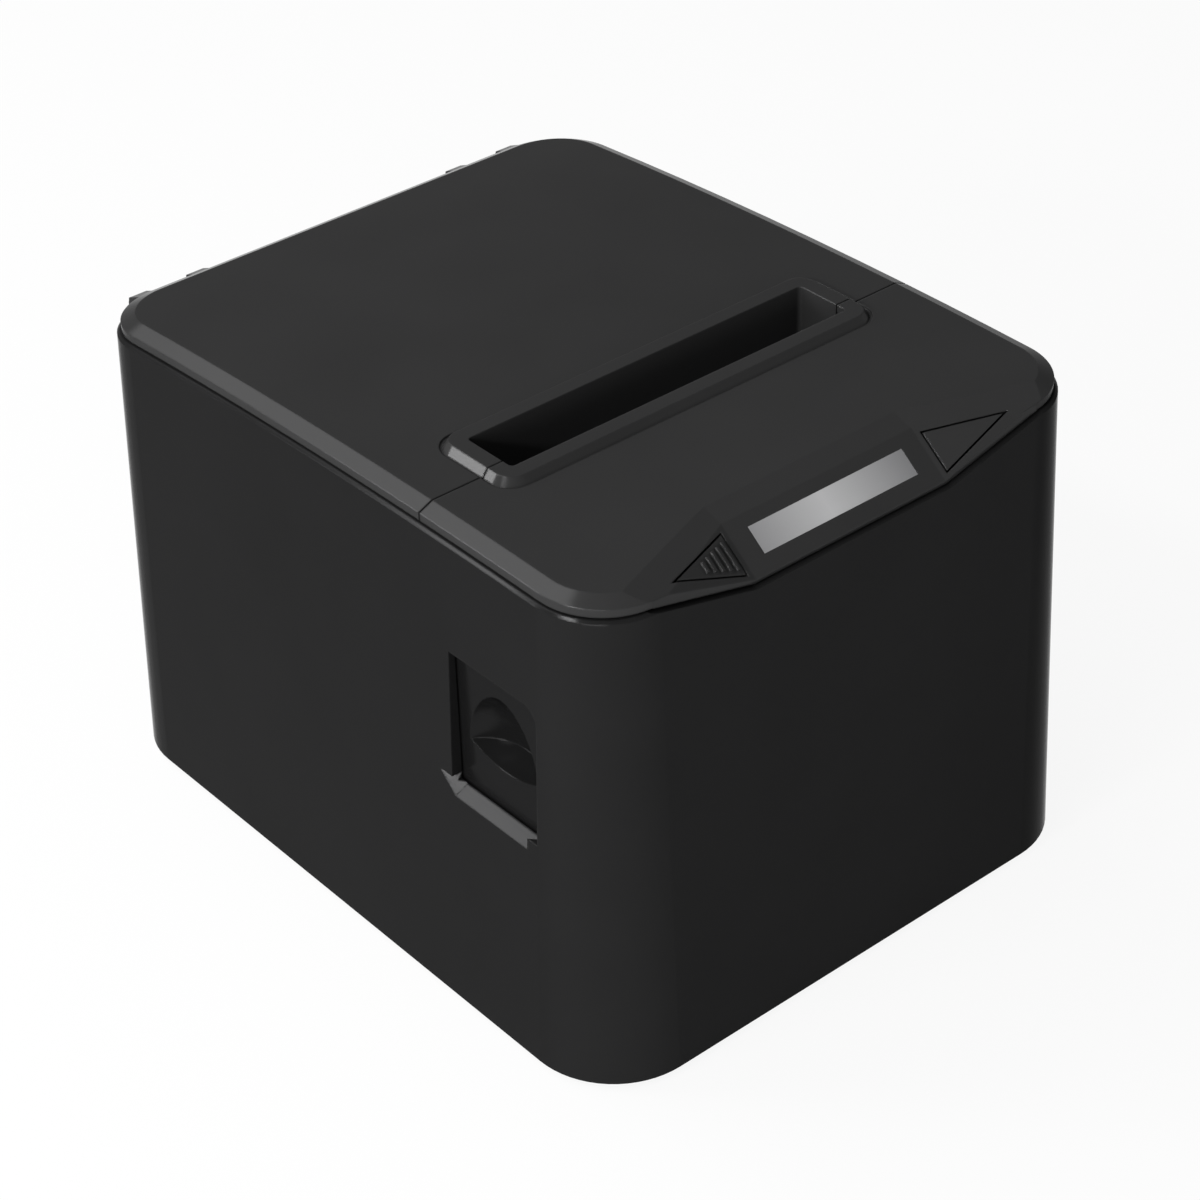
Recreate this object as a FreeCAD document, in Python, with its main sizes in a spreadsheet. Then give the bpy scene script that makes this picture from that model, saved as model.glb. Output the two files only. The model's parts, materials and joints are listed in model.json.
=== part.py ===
"""Desktop receipt printer with a clamshell lid, a control panel in its front cover and a release key."""
import FreeCAD
import Part
import math
import operator
import os
from types import SimpleNamespace

import Sketcher
from FreeCAD import Placement, Rotation, Vector

# Driving sizes in millimetres and degrees
SIZES = {
    # Housing: the walls lean in towards the top, and the top edge follows one large arc
    "side_room": 15.5,
    "body_depth": 180,
    "foot_rise": 2,
    "draft": 2,
    "corner_radius": 20.7,
    "wall": 2.6,
    "crown_radius": 1570,
    "crown_ahead": 35,
    "crown_height": 116.6,
    "edge_bevel": 0.6,
    # Top mouldings: lid and front cover share one bevelled outline
    "cap_inset": 0.9,
    "cap_side": 2.2,
    "bevel_width": 3.4,
    "bevel_drop": 1.5,
    "seam_gap": 0.4,
    # Paper slot
    "slot_spare": 4.5,
    "slot_width": 14.2,
    "slot_ahead": 28.5,
    "slot_corner": 1,
    "rim_width": 5.1,
    "rim_rise": 1.4,
    "rim_lean": 35,
    "rim_corner": 5.2,
    "groove_width": 0.6,
    "groove_depth": 0.5,
    "lid_front": 32.7,
    "chute_wall": 2,
    "chute_drop": 9.6,
    # Control panel
    "notch_drop": 7.4,
    "notch_half": 26.8,
    "notch_tip": 53.4,
    "panel_half": 26,
    "panel_floor_rise": 1.2,
    "panel_slope": 38,
    "panel_fold": 13.8,
    "panel_top_rise": 1.7,
    "panel_bevel_slope": 17.7,
    "panel_bevel_fold": 5.7,
    "panel_wall": 2.2,
    "panel_depth": 24,
    "window_length": 42,
    "window_width": 6.2,
    "window_rise": 6.9,
    "window_depth": 1.4,
    "key_low": 1.2,
    "key_high": 11.4,
    "key_inner": 1.2,
    "key_peak": 6.2,
    "key_reach": 20.5,
    "key_gap": 0.4,
    "key_thickness": 3,
    "rib_width": 0.8,
    "rib_rise": 0.5,
    "rib_inset": 1.3,
    # Release key in the left wall
    "latch_behind": 34.5,
    "latch_drop": 57.9,
    "latch_width": 27.2,
    "latch_height": 32.5,
    "latch_round": 4,
    "latch_depth": 2.2,
    "latch_travel": 4,
    "latch_cover": 6,
    "latch_aside": 3,
    "latch_thickness": 7.6,
    "latch_rail": 2.5,
    "sill_slope": 44,
    "sill_reach": 4,
    "sill_short": 4.5,
    "sill_turn": 40,
    "sill_corner": 2,
    "scoop_width": 21.1,
    "scoop_rise": 15.2,
    "scoop_depth": 6,
    "scoop_dish": 3.2,
    "scoop_shelf_rise": 11.6,
    # Lid hinge behind the rear wall
    "hinge_drop": 1.4,
    "pin_radius": 0.8,
    "pin_length": 20,
    "running_fit": 0.06,
    "ear_inset": 27,
    "ear_width": 10,
    "ear_radius": 1.7,
    "ear_stem": 6,
    # Fastenings
    "screw_radius": 1.5,
    "screw_head_radius": 2.8,
    "screw_head_depth": 1.4,
    "screw_length": 9,
    "boss_radius": 4.5,
    "boss_inset": 10,
    "boss_height": 20,
    "post_inset": 8.4,
    "post_drop": 2.6,
    "peg_radius": 3.5,
    "lid_boss_radius": 4,
    "lid_boss_across": 36,
    "lid_boss_ahead": 14,
    "lid_boss_back": 2,
    # Paper bucket
    "bucket_gap": 1.4,
    "bucket_rear_room": 9,
    "bucket_lift": 6.9,
    "bucket_top_drop": 10.6,
    "paper_width": 83,
    "bucket_wall": 2,
    "lug_depth": 7,
    "lug_rise": 2,
    "lug_height": 14,
    # Steel side plates
    "frame_front": 50,
    "frame_rear": 4,
    "frame_rear_rise": 6,
    "frame_step": 24,
    "frame_gap": 1,
    "frame_nose": 66,
    "frame_nose_drop": 8,
    "frame_root_drop": 22,
    "frame_sheet_top": 60,
    "seat_gap": 0.4,
    # Print unit
    "platen_ahead": 11.4,
    "platen_drop": 28.6,
    "platen_radius": 6,
    "shaft_radius": 2.5,
    "bush_radius": 4.5,
    "head_tilt": 20,
    "head_gap": 0.35,
    "head_short": 0.5,
    "head_below": 8,
    "head_above": 9,
    "head_thickness": 1,
    "sink_thickness": 6,
    "plate_room": 3.5,
    "plate_thickness": 1.5,
    "bracket_drop": 4.6,
    "bracket_wall": 2,
    "bracket_room": 1,
    "bracket_front": 19,
    "bracket_rear": 8,
    "cheek_waist_rise": 10,
    "cheek_foot_drop": 6,
    "cheek_half": 6.5,
    "cheek_ahead": 11.1,
    "cheek_round": 3,
    "bush_collar": 3.6,
    "bush_flange": 1,
    "bush_flange_width": 0.8,
    "bush_beyond": 0.7,
    "bush_collar_width": 2.6,
    "pivot_drop": 11,
    "pivot_radius": 1.5,
    "sink_below_pivot": 3,
    "fin_depth": 2.5,
    "fin_width": 1.6,
    "bar_gap": 6,
    "bar_thickness": 1.5,
    "bar_low": 2,
    "bar_high": 8,
    "spring_across": 18,
    "spring_width": 8,
    "spring_thickness": 0.4,
    "blade_rise": 14.2,
    "blade_thickness": 1,
    "blade_gap": 0.4,
    "blade_room": 4,
    "blade_tip": 26.5,
    "blade_vee": 4,
    "blade_rear": 50,
    "fixed_edge": 22.2,
    "fixed_width": 10,
    "guide_front": 56,
    "guide_rear": 26,
    "guide_hold": 2,
    "guide_floor": 1.6,
    "rack_across": 14,
    "rack_width": 4,
    "rack_hang": 3,
    # Latch shaft with its hooks and its lever
    "hook_shaft_ahead": 34,
    "hook_shaft_drop": 6,
    "hook_shaft_radius": 2.5,
    "hook_room": 0.9,
    "hook_width": 2.2,
    "hook_gap": 1.3,
    "lever_room": 1.4,
    "lever_width": 3.5,
    "lever_peg_behind": 2.5,
    "lever_peg_rise": 17.3,
    "lever_peg_radius": 1.6,
    "lever_tip": 4,
    # Gears, of one tooth size
    "tooth_module": 0.8,
    "gear_room": 4.1,
    "gear_width": 3.6,
    "mesh_play": 0.12,
    "axle_radius": 2,
    "cutter_ahead": 40,
    "motor_collar": 5,
    "motor_shaft_radius": 1,
    "motor_bearing": 6,
    "feed_motor_length": 15,
    "feed_motor_radius": 14,
    "cutter_motor_length": 25,
    "cutter_motor_radius": 12,
    # Base tray, feet and board
    "tray_thickness": 2.6,
    "foot_radius": 7,
    "foot_inset_across": 22,
    "foot_inset_along": 24,
    "board_level": 9,
    "board_thickness": 1.6,
    "board_half": 52,
    "board_front": 8,
    "board_rear_inset": 12,
    "board_post_across": 46,
    "board_post_radius": 3,
    "panel_board_drop": 11,
    "panel_board_room": 3,
    "panel_board_inset": 6,
    "panel_board_gap": 2,
    "panel_post_across": 26,
    "panel_post_inset": 4,
    "panel_post_radius": 2.5,
    "key_switch_across": 33,
    "key_switch_size": 6,
    "key_switch_height": 2,
    "key_switch_stem": 0.6,
    "key_switch_stem_radius": 1.7,
    "buzzer_aside": 30,
    "buzzer_back": 26,
    "buzzer_radius": 6,
    "buzzer_height": 4,
    "sensor_half": 6,
    "sensor_low": 30,
    "sensor_height": 12,
    # Rear sockets and switch
    "port_gap": 0.3,
    "socket_sink": 1.1,
    "switch_centre": 42,
    "switch_width": 13,
    "switch_low": 14,
    "switch_height": 19,
    "switch_depth": 15,
    "switch_frame": 1.4,
    "switch_well": 8,
    "switch_proud": 0.3,
    "rocker_gap": 0.4,
    "rocker_tall": 6.9,
    "rocker_sunk": 4,
    "rocker_foot": 3,
    "rocker_press": 0.7,
    "rocker_pin_radius": 1.2,
}
PLATEN_TEETH = 20
IDLER_TEETH = 36
PINION_TEETH = 12
CUTTER_TEETH = 24
RACK_TEETH = 8
RIB_COUNT = 5
# Directions from the idler to the feed motor and from the cutter shaft to its motor, in degrees
FEED_WAY = math.radians(-139)
CUT_WAY = math.radians(-154)
PRESSURE_ANGLE = math.radians(20)

doc = FreeCAD.newDocument("ReceiptPrinter")
sheet = doc.addObject("Spreadsheet::Sheet", "Sizes")
for row, (alias, value) in enumerate(SIZES.items(), start=1):
    sheet.set(f"A{row}", alias.replace("_", " "))
    sheet.set(f"B{row}", str(value))
    sheet.setAlias(f"B{row}", alias)
doc.recompute()


class Size:
    """A number together with the sheet formula that gives it."""

    def __init__(self, value, text):
        self.value = value
        self.text = text

    def __add__(self, other):
        return joined(operator.add, "+", self, other)

    def __radd__(self, other):
        return joined(operator.add, "+", other, self)

    def __sub__(self, other):
        return joined(operator.sub, "-", self, other)

    def __rsub__(self, other):
        return joined(operator.sub, "-", other, self)

    def __mul__(self, other):
        return joined(operator.mul, "*", self, other)

    def __rmul__(self, other):
        return joined(operator.mul, "*", other, self)

    def __truediv__(self, other):
        return joined(operator.truediv, "/", self, other)

    def __neg__(self):
        return Size(-self.value, f"(0 - {self.text})")


def number(size):
    """The plain number of a size."""
    return size.value if isinstance(size, Size) else float(size)


def formula(size):
    """The sheet formula of a size."""
    return size.text if isinstance(size, Size) else f"({float(size)!r})"


def joined(action, sign, left, right):
    """Two sizes joined by one arithmetic sign."""
    return Size(action(number(left), number(right)), f"({formula(left)} {sign} {formula(right)})")


def sine(angle):
    """Sine of an angle in degrees."""
    return Size(math.sin(math.radians(number(angle))), f"sin({formula(angle)})")


def cosine(angle):
    """Cosine of an angle in degrees."""
    return Size(math.cos(math.radians(number(angle))), f"cos({formula(angle)})")


def tangent(angle):
    """Tangent of an angle in degrees."""
    return Size(math.tan(math.radians(number(angle))), f"tan({formula(angle)})")


def root(square):
    """Square root of a size."""
    return Size(math.sqrt(number(square)), f"sqrt({formula(square)})")


def bind(thing, place, size):
    """Ties one property of an object to a sheet formula."""
    thing.setExpression(place, formula(size))


d = SimpleNamespace(**{alias: Size(float(sheet.get(alias)), f"Sizes.{alias}") for alias in SIZES})
nodes = []


def node(thing):
    """Marks an object as one piece of the printer."""
    nodes.append(thing)
    return thing


# Sketches and features

PLANE_ROLES = {"XY": "XY_Plane", "XZ": "XZ_Plane", "YZ": "YZ_Plane"}


def new_body(name):
    """An empty body for one piece."""
    return doc.addObject("PartDesign::Body", name)


def new_sketch(body, plane, level):
    """A sketch on one of the body's own planes, lifted along the plane's normal."""
    sketch = body.newObject("Sketcher::SketchObject", "Sketch")
    support = next(item for item in body.Origin.OriginFeatures if item.Role == PLANE_ROLES[plane])
    sketch.AttachmentSupport = [(support, "")]
    sketch.MapMode = "FlatFace"
    bind(sketch, "AttachmentOffset.Base.z", level)
    return sketch


def hold(sketch, kind, geometry, point, size):
    """Fixes one coordinate of a sketch point, measured from the sketch's origin."""
    rule = Sketcher.Constraint(kind, -1, 1, geometry, point, number(size))
    bind(sketch, f"Constraints[{sketch.addConstraint(rule)}]", size)


def draw_polygon(sketch, corners):
    """A closed outline of straight sides."""
    spots = [Vector(number(across), number(up), 0) for across, up in corners]
    first = sketch.GeometryCount
    count = len(spots)
    for index in range(count):
        sketch.addGeometry(Part.LineSegment(spots[index], spots[(index + 1) % count]))
    for index, (across, up) in enumerate(corners):
        following = (index + 1) % count
        sketch.addConstraint(Sketcher.Constraint("Coincident", first + index, 2, first + following, 1))
        hold(sketch, "DistanceX", first + index, 1, across)
        hold(sketch, "DistanceY", first + index, 1, up)


def draw_rounded(sketch, across, up, radius):
    """A rectangle between two spans with equal round corners."""
    centres = rectangle((across[0] + radius, across[1] - radius), (up[0] + radius, up[1] - radius))
    quarter = math.pi / 2
    arcs = []
    for index, (centre_across, centre_up) in enumerate(centres):
        spot = Vector(number(centre_across), number(centre_up), 0)
        circle = Part.Circle(spot, Vector(0, 0, 1), number(radius))
        arc = sketch.addGeometry(Part.ArcOfCircle(circle, (index + 2) * quarter, (index + 3) * quarter))
        hold(sketch, "DistanceX", arc, 3, centre_across)
        hold(sketch, "DistanceY", arc, 3, centre_up)
        rule = sketch.addConstraint(Sketcher.Constraint("Radius", arc, number(radius)))
        bind(sketch, f"Constraints[{rule}]", radius)
        arcs.append((arc, circle.value((index + 2) * quarter), circle.value((index + 3) * quarter)))
    for (arc, start, finish), (other, other_start, other_finish) in zip(arcs, arcs[1:] + arcs[:1]):
        line = sketch.addGeometry(Part.LineSegment(finish, other_start))
        sketch.addConstraint(Sketcher.Constraint("Tangent", arc, 2, line, 1))
        sketch.addConstraint(Sketcher.Constraint("Tangent", line, 2, other, 1))


def draw_circle(sketch, centre, radius):
    """A circle held by its centre and radius."""
    across, up = centre
    spot = Vector(number(across), number(up), 0)
    index = sketch.addGeometry(Part.Circle(spot, Vector(0, 0, 1), number(radius)))
    hold(sketch, "DistanceX", index, 3, across)
    hold(sketch, "DistanceY", index, 3, up)
    rule = sketch.addConstraint(Sketcher.Constraint("Radius", index, number(radius)))
    bind(sketch, f"Constraints[{rule}]", radius)


def draw_bow(sketch, centre, radius, reach, far):
    """A region between an arc over a far centre and a straight line beyond it."""
    across, up = centre
    middle = Vector(number(across), number(up), 0)
    ends = []
    for side in (reach, -reach):
        offset = number(side) - middle.x
        ends.append(math.acos(offset / number(radius)))
    circle = Part.Circle(middle, Vector(0, 0, 1), number(radius))
    arc = sketch.addGeometry(Part.ArcOfCircle(circle, ends[0], ends[1]))
    start = circle.value(ends[0])
    finish = circle.value(ends[1])
    corners = (finish, Vector(finish.x, number(far), 0), Vector(start.x, number(far), 0), start)
    lines = [sketch.addGeometry(Part.LineSegment(corners[i], corners[i + 1])) for i in range(3)]
    sketch.addConstraint(Sketcher.Constraint("Coincident", arc, 2, lines[0], 1))
    sketch.addConstraint(Sketcher.Constraint("Coincident", lines[0], 2, lines[1], 1))
    sketch.addConstraint(Sketcher.Constraint("Coincident", lines[1], 2, lines[2], 1))
    sketch.addConstraint(Sketcher.Constraint("Coincident", lines[2], 2, arc, 1))
    hold(sketch, "DistanceX", arc, 3, across)
    hold(sketch, "DistanceY", arc, 3, up)
    hold(sketch, "DistanceX", lines[0], 1, -reach)
    hold(sketch, "DistanceX", lines[2], 2, reach)
    sketch.addConstraint(Sketcher.Constraint("Vertical", lines[0]))
    sketch.addConstraint(Sketcher.Constraint("Vertical", lines[2]))
    hold(sketch, "DistanceY", lines[0], 2, far)
    sketch.addConstraint(Sketcher.Constraint("Horizontal", lines[1]))
    rule = sketch.addConstraint(Sketcher.Constraint("Radius", arc, number(radius)))
    bind(sketch, f"Constraints[{rule}]", radius)


def normal_span(plane, span):
    """A span along a plane's normal; the front plane's normal points forward."""
    low, high = span
    if plane == "XZ":
        return -high, -low
    return low, high


def rectangle(across, up):
    """The corners of a rectangle between two spans."""
    return [(across[0], up[0]), (across[1], up[0]), (across[1], up[1]), (across[0], up[1])]


def pad(body, plane, draw, span, taper=0):
    """Adds a profile pulled through a span along the plane's normal."""
    low, high = normal_span(plane, span)
    sketch = new_sketch(body, plane, low)
    draw(sketch)
    feature = body.newObject("PartDesign::Pad", "Pad")
    feature.Profile = sketch
    bind(feature, "Length", high - low)
    bind(feature, "TaperAngle", taper)
    doc.recompute()
    return feature


def pocket(body, plane, draw, span, taper=0, outward=False):
    """Takes a profile away through a span; outward cuts from the low end to the high end."""
    low, high = normal_span(plane, span)
    sketch = new_sketch(body, plane, low if outward else high)
    draw(sketch)
    return cut_profile(body, sketch, high - low, taper, outward)


def cut_profile(body, sketch, length, taper=0, outward=False):
    """Takes a sketch's profile away and makes sure that something was cut."""
    before = body.Tip.Shape.Volume
    feature = body.newObject("PartDesign::Pocket", "Pocket")
    feature.Profile = sketch
    feature.Reversed = outward
    bind(feature, "Length", length)
    bind(feature, "TaperAngle", taper)
    doc.recompute()
    if not feature.Shape.Volume < before:
        raise RuntimeError(f"a cut in {body.Name} misses its solid")
    return feature


def sides(corners):
    """A drawing routine for a polygon."""
    return lambda sketch: draw_polygon(sketch, corners)


def rounded(across, up, radius):
    """A drawing routine for a rectangle with round corners."""
    return lambda sketch: draw_rounded(sketch, across, up, radius)


def several(outlines):
    """A drawing routine for several polygons."""
    return lambda sketch: [draw_polygon(sketch, corners) for corners in outlines]


def ring(centre, radius):
    """A drawing routine for a circle."""
    return lambda sketch: draw_circle(sketch, centre, radius)


def rings(centres, radius):
    """A drawing routine for several equal circles."""
    return lambda sketch: [draw_circle(sketch, centre, radius) for centre in centres]


def edge_names(feature, chosen):
    """The names of a feature's edges that a test picks."""
    return [f"Edge{index}" for index, edge in enumerate(feature.Shape.Edges, start=1) if chosen(edge)]


def round_edges(body, radius, chosen):
    """Rounds the edges that a test picks."""
    base = body.Tip
    feature = body.newObject("PartDesign::Fillet", "Fillet")
    feature.Base = (base, edge_names(base, chosen))
    bind(feature, "Radius", radius)
    doc.recompute()
    return feature


def bevel_edges(body, size, chosen):
    """Cuts the edges that a test picks by an even bevel."""
    base = body.Tip
    feature = body.newObject("PartDesign::Chamfer", "Chamfer")
    feature.Base = (base, edge_names(base, chosen))
    bind(feature, "Size", size)
    doc.recompute()
    return feature


def runs_along(axis):
    """A test for straight edges along one axis, leaning by no more than a few degrees."""
    def chosen(edge):
        if len(edge.Vertexes) < 2:
            return False
        run = edge.Vertexes[1].Point - edge.Vertexes[0].Point
        return abs(run.normalize().dot(axis)) > 0.99
    return chosen


ACROSS = Vector(1, 0, 0)
BACK = Vector(0, 1, 0)
UP = Vector(0, 0, 1)


# Plain solids and their joins

def box(name, across, back, up):
    """A block between three spans."""
    block = doc.addObject("Part::Box", name)
    spans = (across, back, up)
    for place, (low, high) in zip(("Length", "Width", "Height"), spans):
        bind(block, place, high - low)
    for place, (low, high) in zip("xyz", spans):
        bind(block, f"Placement.Base.{place}", low)
    return block


def rod(name, spot, span, radius, axis=ACROSS):
    """A round bar along one axis; spot gives the two other coordinates in order."""
    bar = doc.addObject("Part::Cylinder", name)
    bar.Placement = Placement(Vector(), Rotation(UP, axis))
    bind(bar, "Radius", radius)
    bind(bar, "Height", span[1] - span[0])
    others = iter(spot)
    for place, part in zip("xyz", axis):
        bind(bar, f"Placement.Base.{place}", span[0] if part else next(others))
    return bar


def fuse(name, pieces):
    """Several solids made one."""
    whole = doc.addObject("Part::MultiFuse", name)
    whole.Shapes = pieces
    whole.Refine = True
    return whole


def cut(name, base, tools):
    """A solid with others taken out of it."""
    left = doc.addObject("Part::Cut", name)
    left.Base = base
    left.Tool = tools[0] if len(tools) == 1 else fuse(f"{name}_tools", tools)
    return left


# Shared places

# How far cutting shapes reach past what they cut, and how deep joined shapes overlap
BEYOND = 20
OVERLAP = 1

bucket_half = d.paper_width / 2
bucket_outer_half = bucket_half + d.bucket_wall
slot_half = bucket_half + d.slot_spare
head_half = bucket_half - d.head_short
plate_inner = bucket_outer_half + d.plate_room
plate_outer = plate_inner + d.plate_thickness
bracket_outer = plate_inner - d.bracket_room
bracket_inner = bracket_outer - d.bracket_wall
blade_half = plate_inner - d.blade_room
gear_face = plate_outer + d.gear_room
gear_end = gear_face + d.gear_width
hook_inner = plate_outer + d.hook_room
hook_outer = hook_inner + d.hook_width
lever_inner = hook_outer + d.lever_room
lever_outer = lever_inner + d.lever_width
half_width = lever_outer + d.side_room
half_depth = d.body_depth / 2
lean = tangent(d.draft)
top_shrink = (d.crown_height - d.foot_rise) * lean
top_radius = d.corner_radius - top_shrink
cap_half_width = half_width - top_shrink - d.cap_inset
cap_half_depth = half_depth - top_shrink - d.cap_inset
crown_centre = (-d.crown_ahead, d.crown_height - d.crown_radius)
crown_reach = half_depth + BEYOND
cap_rise = d.cap_side + d.bevel_drop
chute_floor = d.crown_height - d.chute_drop
frame_top = chute_floor - d.frame_gap
slot_middle = -d.slot_ahead
slot_front = slot_middle - d.slot_width / 2
slot_back = slot_middle + d.slot_width / 2
cap_top = d.crown_height + cap_rise
rim_foot = cap_top - d.groove_depth
rim_top = cap_top + d.rim_rise
ceiling = d.crown_height + BEYOND
cap_under = d.crown_height + 1.5
tray_top = d.foot_rise + d.tray_thickness
boss_across = half_width - d.boss_inset
boss_along = half_depth - d.boss_inset
cover_post_across = cap_half_width - d.post_inset
cover_post_ahead = cap_half_depth - d.post_inset
cover_post_top = d.crown_height - d.post_drop
latch_low = d.crown_height - d.latch_drop
left_wall = -(half_width - (latch_low + d.latch_height / 2 - d.foot_rise) * lean)
latch_face = left_wall + d.latch_depth
key_face = latch_face + d.seam_gap
key_back = key_face + d.latch_thickness
latch_middle = d.latch_behind - half_depth
latch_front = latch_middle - d.latch_width / 2
latch_rear = latch_middle + d.latch_width / 2
latch_top = latch_low + d.latch_height
key_front = latch_front - d.latch_aside
key_rear = latch_rear + d.latch_aside
platen_height = d.crown_height - d.platen_drop
platen_spot = (-d.platen_ahead, platen_height)
front_face = -cap_half_depth
notch_ahead = half_depth - d.crown_ahead
notch_brow = d.crown_height - notch_ahead * notch_ahead / (2 * d.crown_radius)
notch_floor = d.crown_height - d.notch_drop
panel_floor = notch_floor + d.panel_floor_rise
panel_top = d.crown_height + d.panel_top_rise
block_floor = notch_floor + d.seam_gap
block_back = front_face + d.panel_depth
split_half = d.seam_gap / 2
rear_behind = half_depth + d.crown_ahead
rear_brow = d.crown_height - rear_behind * rear_behind / (2 * d.crown_radius)
hinge_back = half_depth - d.ear_radius
hinge_height = rear_brow - d.hinge_drop
hinge_spot = (hinge_back, hinge_height)
rear_wall = half_depth - (hinge_height - d.foot_rise) * lean
board_top = d.board_level + d.board_thickness
board_rear = half_depth - d.board_rear_inset
ear_centre = half_width - d.ear_inset
panel_board_top = d.crown_height - d.panel_board_drop
panel_board_low = panel_board_top - d.board_thickness
panel_board_front = front_face + d.panel_board_inset
panel_board_rear = -d.guide_front - d.panel_board_gap
foot_across = half_width - d.foot_inset_across
foot_along = half_depth - d.foot_inset_along
SIDES = {"left": -1, "right": 1}
ENDS = {"front": -1, "rear": 1}

switch_across = (-d.switch_centre - d.switch_width / 2, -d.switch_centre + d.switch_width / 2)
switch_up = (d.switch_low, d.switch_low + d.switch_height)
switch_level = d.switch_low + d.switch_height / 2
switch_face = half_depth - (switch_level - d.foot_rise) * lean
socket_level = board_top + 6
rear_face = half_depth - (socket_level - d.foot_rise) * lean - d.socket_sink
bucket_front = d.platen_radius + d.bucket_gap - d.platen_ahead
bucket_rear = half_depth - d.bucket_rear_room
bucket_back = (bucket_front + bucket_rear) / 2
bucket_outer_radius = (bucket_rear - bucket_front) / 2
bucket_radius = bucket_outer_radius - d.bucket_wall
bucket_height = board_top + d.bucket_lift + bucket_outer_radius
bucket_top = d.crown_height - d.bucket_top_drop
bracket_top = d.crown_height - d.bracket_drop
blade_level = platen_height + d.blade_rise
blade_bottom = blade_level + d.blade_thickness + d.blade_gap
lever_peg_height = latch_low + d.lever_peg_rise
lever_peg_spot = (latch_middle + d.lever_peg_behind, lever_peg_height)
hook_shaft_spot = (-d.hook_shaft_ahead, lever_peg_height - d.hook_shaft_drop)

# Rear sockets: centre across, width and height of each opening
PORTS = {
    "power_jack": (-24, 9, 11),
    "data_socket": (-8, 12, 11),
    "network_socket": (12, 16, 13.4),
    "drawer_socket": (34, 13, 13.4),
}


# Housing and base

def crown_cut(body, radius, far):
    """Takes away what is on one side of the crowned surface."""
    reach = half_width + BEYOND

    def bow(sketch):
        draw_bow(sketch, crown_centre, radius, crown_reach, far)

    pocket(body, "YZ", bow, (-reach, reach))


def four_corners(across, along):
    """The four spots that mirror each other about both middle planes."""
    return [(side * across, end * along) for end in ENDS.values() for side in SIDES.values()]


def main_housing():
    """Leaning walls in one moulding, with the panel notch, the key recess and the rear openings."""
    body = node(new_body("main_housing"))
    outline = rounded((-half_width, half_width), (-half_depth, half_depth), d.corner_radius)
    stock = (d.foot_rise, d.crown_height + OVERLAP)
    pad(body, "XY", outline, stock, taper=-d.draft)
    inside = rounded((d.wall - half_width, half_width - d.wall), (d.wall - half_depth, half_depth - d.wall),
                     d.corner_radius - d.wall)
    pocket(body, "XY", inside, stock, taper=-d.draft, outward=True)
    screw_bosses = four_corners(boss_across, boss_along)
    pad(body, "XY", rings(screw_bosses, d.boss_radius), (tray_top, tray_top + d.boss_height))
    posts = [(side * cover_post_across, -cover_post_ahead) for side in SIDES.values()]
    pad(body, "XY", rings(posts, d.boss_radius), (cover_post_top - d.boss_height, cover_post_top))
    screw_hole = (tray_top, tray_top + d.screw_length + OVERLAP)
    pocket(body, "XY", rings(screw_bosses, d.screw_radius), screw_hole, outward=True)
    crown_cut(body, d.crown_radius, ceiling)
    bevel_edges(body, d.edge_bevel, on_outer_rim)
    notch = [
        (-d.notch_half, notch_floor), (d.notch_half, notch_floor), (d.notch_tip, notch_brow),
        (d.notch_tip, ceiling), (-d.notch_tip, ceiling), (-d.notch_tip, notch_brow),
    ]
    pocket(body, "XZ", sides(notch), (-half_depth - OVERLAP, top_shrink + 2 * d.wall - half_depth))
    key_recess(body)
    for side in SIDES.values():
        hinge_ear(body, side * ear_centre)
    rear_openings(body)
    return body


RIM_REACH = 5


def on_outer_rim(edge):
    """A test for the housing's outer top edge."""
    box_of = edge.BoundBox
    if box_of.ZMin < number(rear_brow) - RIM_REACH:
        return False
    spot = edge.valueAt((edge.FirstParameter + edge.LastParameter) / 2)
    middle = number(half_width - top_shrink - d.wall / 2)
    middle_end = number(half_depth - top_shrink - d.wall / 2)
    bend = number(top_radius - d.wall / 2)
    aside = abs(spot.x) - middle + bend
    along = abs(spot.y) - middle_end + bend
    if aside > 0 and along > 0:
        return math.hypot(aside, along) > bend
    return aside > bend or along > bend


def key_recess(body):
    """A thinned place in the left wall with an opening for the release key over a sloped sill."""
    room = rectangle((key_front - d.seam_gap, key_rear + d.seam_gap),
                     (latch_low - d.latch_cover - d.seam_gap, latch_top + d.latch_cover + d.seam_gap))
    pocket(body, "YZ", sides(room), (latch_face, key_back))
    opening = rectangle((latch_front, latch_rear), (latch_low, latch_top))
    pocket(body, "YZ", sides(opening), (left_wall - BEYOND, key_face))

    def at_front_top(edge):
        spot = edge.CenterOfMass
        near = OVERLAP / 10
        return (runs_along(ACROSS)(edge) and spot.x < number(key_face)
                and abs(spot.y - number(latch_front)) < near and abs(spot.z - number(latch_top)) < near)

    round_edges(body, d.latch_round, at_front_top)
    flared_sill(body)
    height = (latch_low, latch_top)
    rails = [rectangle((key_rear + d.seam_gap, key_rear + d.seam_gap + d.latch_rail), height),
             rectangle((key_front - d.seam_gap - d.latch_rail, key_front - d.seam_gap), height)]
    pad(body, "YZ", several(rails), (latch_face - d.seam_gap, key_face + d.latch_thickness / 2))


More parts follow.
